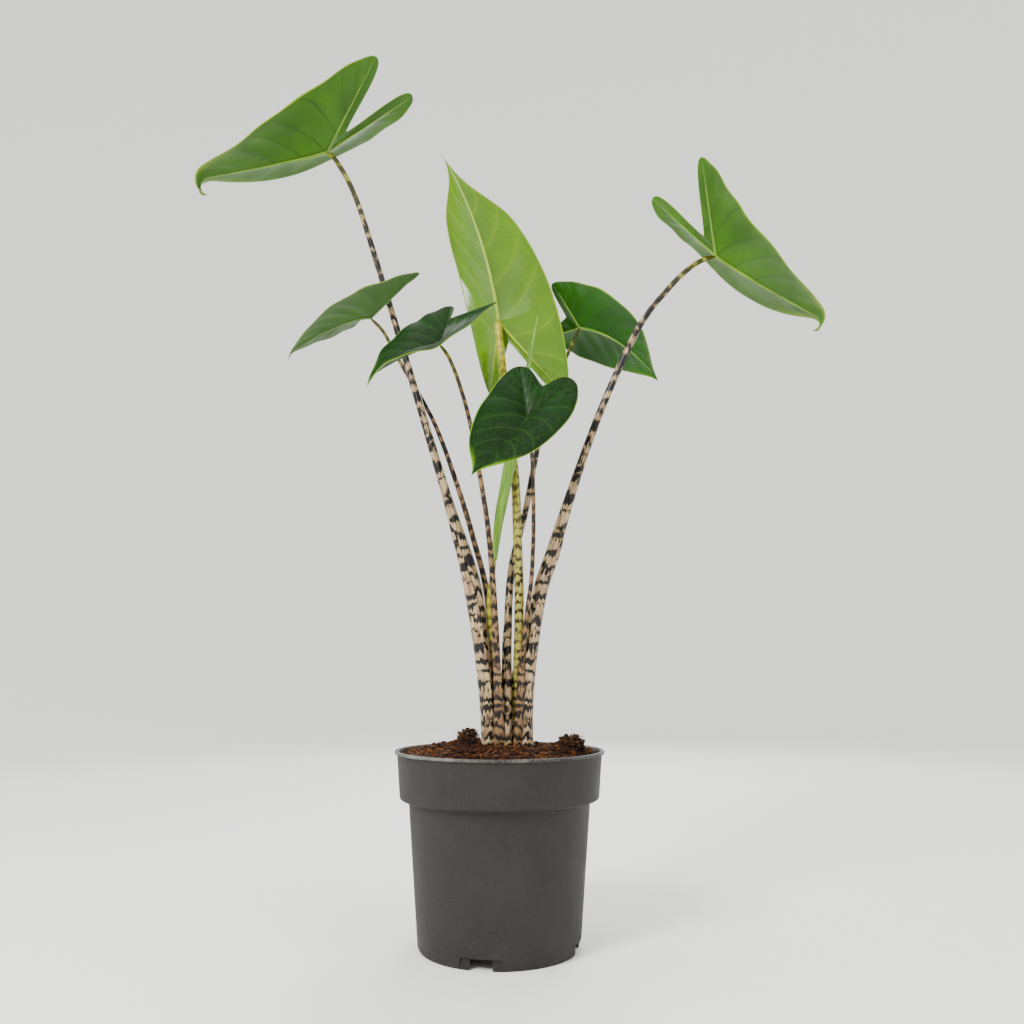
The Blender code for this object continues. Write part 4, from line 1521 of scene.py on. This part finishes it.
TOP_RADIUS = 0.0026
SLIM_TOP_RADIUS = 0.0018

STALKS = {
    "stalk_upper_left": LeafStalk(
        (-10, 0),
        ((-13, 0, 235), (-27, -2, 347), (-55, -1, 442), (-90, 2, 557),
         (-127, 1, 678), (-158, -12, 774), (-179, -24, 813)),
        0.0062, TOP_RADIUS, BANDED, BLADES["leaf_upper_left"], 0.345, 0.0035,
        Sheath(0.425, 5.0, flare=0.0022),
    ),
    "stalk_upper_right": LeafStalk(
        (27, -2),
        ((27, -3, 236), (39, -8, 336), (55, -12, 387), (82, -18, 470),
         (110, -22, 544), (148, -24, 625), (181, -25, 668), (203, -24, 690),
         (219, -23, 700)),
        0.0062, TOP_RADIUS, BANDED, BLADES["leaf_upper_right"], 0.375, 0.0020,
        Sheath(0.405, 175.0, flare=0.0026),
    ),
    "stalk_middle_left": LeafStalk(
        (-3, 13),
        ((-5, 12, 235), (-13, 12, 338), (-28, 12, 401), (-48, 14, 466),
         (-73, 15, 532), (-108, 14, 594), (-128, 11, 630)),
        0.0042, SLIM_TOP_RADIUS, BANDED_SLIM, BLADES["leaf_middle_left"],
        sheath=Sheath(0.30, -60.0, reach=0.0008),
    ),
    "stalk_centre_left": LeafStalk(
        (-1, -10),
        ((-1, -11, 236), (-5, -19, 325), (-10, -27, 391), (-16, -33, 436),
         (-29, -45, 508), (-40, -52, 549), (-51, -58, 577)),
        0.0040, SLIM_TOP_RADIUS, BANDED_SLIM, BLADES["leaf_centre_left"],
        sheath=Sheath(0.31, 40.0, reach=0.0008),
    ),
    "stalk_centre": LeafStalk(
        (16, 7),
        ((18, 5, 235), (20, -1, 337), (18, -3, 409), (16, -5, 462),
         (9, -8, 526), (3, -8, 579), (-1, -6, 616)),
        0.0052, 0.0042, YELLOW, BLADES["leaf_centre"],
        sheath=Sheath(0.30, 120.0),
    ),
    "stalk_front": LeafStalk(
        (16, -8),
        ((20, -11, 236), (27, -16, 316), (32, -22, 355), (34, -33, 395),
         (34, -45, 430), (33, -58, 462), (31, -68, 485)),
        0.0028, SLIM_TOP_RADIUS, BANDED_SLIM, BLADES["leaf_front"],
        sheath=Sheath(0.29, 60.0, reach=0.0007),
    ),
    "stalk_right": LeafStalk(
        (7, -5),
        ((8, -4, 236), (8, 1, 296), (12, 10, 369), (27, 13, 433),
         (40, 22, 501), (58, 38, 573), (75, 48, 617), (83, 52, 637)),
        0.0054, SLIM_TOP_RADIUS, BANDED, BLADES["leaf_right"],
        sheath=Sheath(0.31, -20.0),
    ),
    "stalk_rolled_leaf": LeafStalk(
        (0, 4),
        ((-1, 3, 235), (-7, 1, 286), (-11, -3, 331), (-6, -9, 377)),
        0.0030, 0.0026, YELLOW,
    ),
}

YELLOW_STALKS = ("stalk_centre", "stalk_rolled_leaf")


# ---------------------------------------------------------------- studio
class LampJob(Enum):
    """What each studio lamp is for: place, aim, size in metres, power in watts."""

    KEY = ((-1.3, -1.6, 1.7), (0.0, 0.0, 0.5), 0.9, 85.0)
    FILL = ((1.7, -1.3, 1.0), (0.0, 0.0, 0.4), 1.4, 14.0)
    BACK = ((0.4, 1.7, 1.6), (0.0, 0.0, 0.5), 1.4, 34.0)


@dataclass
class Studio:
    """A pale floor that curves up all round, soft lamps and the camera."""

    flat: float = 2.6
    sweep: float = 2.0
    wall_top: float = 5.0
    steps: int = 24
    sides: int = 96
    pale: str = "#F4F4F2"
    sky_strength: float = 1.35
    eye: tuple = (0.0124, -0.96, 0.27)
    tilt: float = math.radians(9.4)
    sensor: float = 36.0
    lens: float = 32.59

    def build(self) -> None:
        """Make the floor, the lamps, the sky light and the camera."""
        self.floor()
        for job in LampJob:
            self.lamp(job)
        world = bpy.data.worlds.new("soft_sky")
        world.use_nodes = True
        sky = world.node_tree.nodes["Background"]
        feed(sky, {"Color": "#FFFFFF", "Strength": self.sky_strength})
        bpy.context.scene.world = world
        self.camera()

    def floor(self) -> None:
        """A floor of matt painted board that bends up into a round wall."""
        line = [(0.0, 0.0), (self.flat, 0.0)]
        for k in range(1, self.steps + 1):
            a = 0.25 * TURN * k / self.steps
            line.append((self.flat + self.sweep * math.sin(a), self.sweep * (1.0 - math.cos(a))))
        line.append((self.flat + self.sweep, self.wall_top))
        sculpt = Sculpt()
        rows = []
        for k in range(self.sides + 1):
            turn = TURN * k / self.sides
            rows.append([Vector((r * math.cos(turn), r * math.sin(turn), z)) for r, z in line])
        sculpt.sheet(rows)
        material, _, shader = new_material("matt_white_board")
        feed(shader, {"Base Color": self.pale, "Roughness": 0.9})
        floor = sculpt.build("studio_floor", [material], weld=0.00001)

    def lamp(self, job: LampJob) -> None:
        """Add one soft lamp."""
        spot, aim, size, power = job.value
        data = bpy.data.lights.new(job.name.lower() + "_lamp", "AREA")
        data.shape = "DISK"
        data.size = size
        data.energy = power
        lamp = bpy.data.objects.new(data.name, data)
        lamp.location = spot
        lamp.rotation_euler = (Vector(aim) - Vector(spot)).to_track_quat("-Z", "Y").to_euler()
        bpy.context.scene.collection.objects.link(lamp)

    def camera(self) -> None:
        """Add the camera at the pot's height, tilted up at the leaves."""
        data = bpy.data.cameras.new("studio_camera")
        data.sensor_width = self.sensor
        data.lens = self.lens
        camera = bpy.data.objects.new("studio_camera", data)
        camera.location = self.eye
        camera.rotation_euler = (0.25 * TURN + self.tilt, 0.0, 0.0)
        bpy.context.scene.collection.objects.link(camera)
        bpy.context.scene.camera = camera


def main() -> None:
    """Build every piece in order."""
    logging.basicConfig(level=logging.INFO, format="%(name)s: %(message)s")
    low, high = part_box("pot")
    pot = NurseryPot(height=high[2] - low[2], rim_radius=0.5 * (high[0] - low[0]))
    place(pot.build(), "pot", "pot_plastic")
    place(RootBall(pot).build(), "soil", "potting_soil")
    for tuft in (
        CoirTuft("coir_tuft_left", (-30, -42, 199), (13, 10, 13), 5),
        CoirTuft("coir_tuft_right", (69, -42, 195), (14, 9, 11), 8, crumbs=560, fibres=190),
    ):
        node = tuft.name.replace("coir_", "")
        place(tuft.build(), node, "coir_fibre")
    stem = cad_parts["rhizome"]
    stem.material_slots[0].material = Bark().material()
    LOG.info("rhizome keeps its node, with a corky skin")
    for node, blade in BLADES.items():
        place(blade.build(f"{node}_blade"), node, BLADE_SLOTS[node])
    for node, stalk in STALKS.items():
        slot = "yellow_banded_stalk" if node in YELLOW_STALKS else "banded_stalk"
        place(stalk.build(f"{node}_skin"), node, slot)
    spike = RolledLeaf(
        ((-6, -9, 377), (-1, -14, 418), (7, -19, 459), (17, -22, 512), (30, -25, 580),
         (40, -28, 635)),
        (0.0029, 0.0055, 0.0065, 0.0060, 0.0026, 0.0007), ROLLED,
    )
    place(spike.build("leaf_rolled_spike"), "leaf_rolled", "blade_rolled_green")
    Studio().build()


if __name__ == "__main__":
    main()
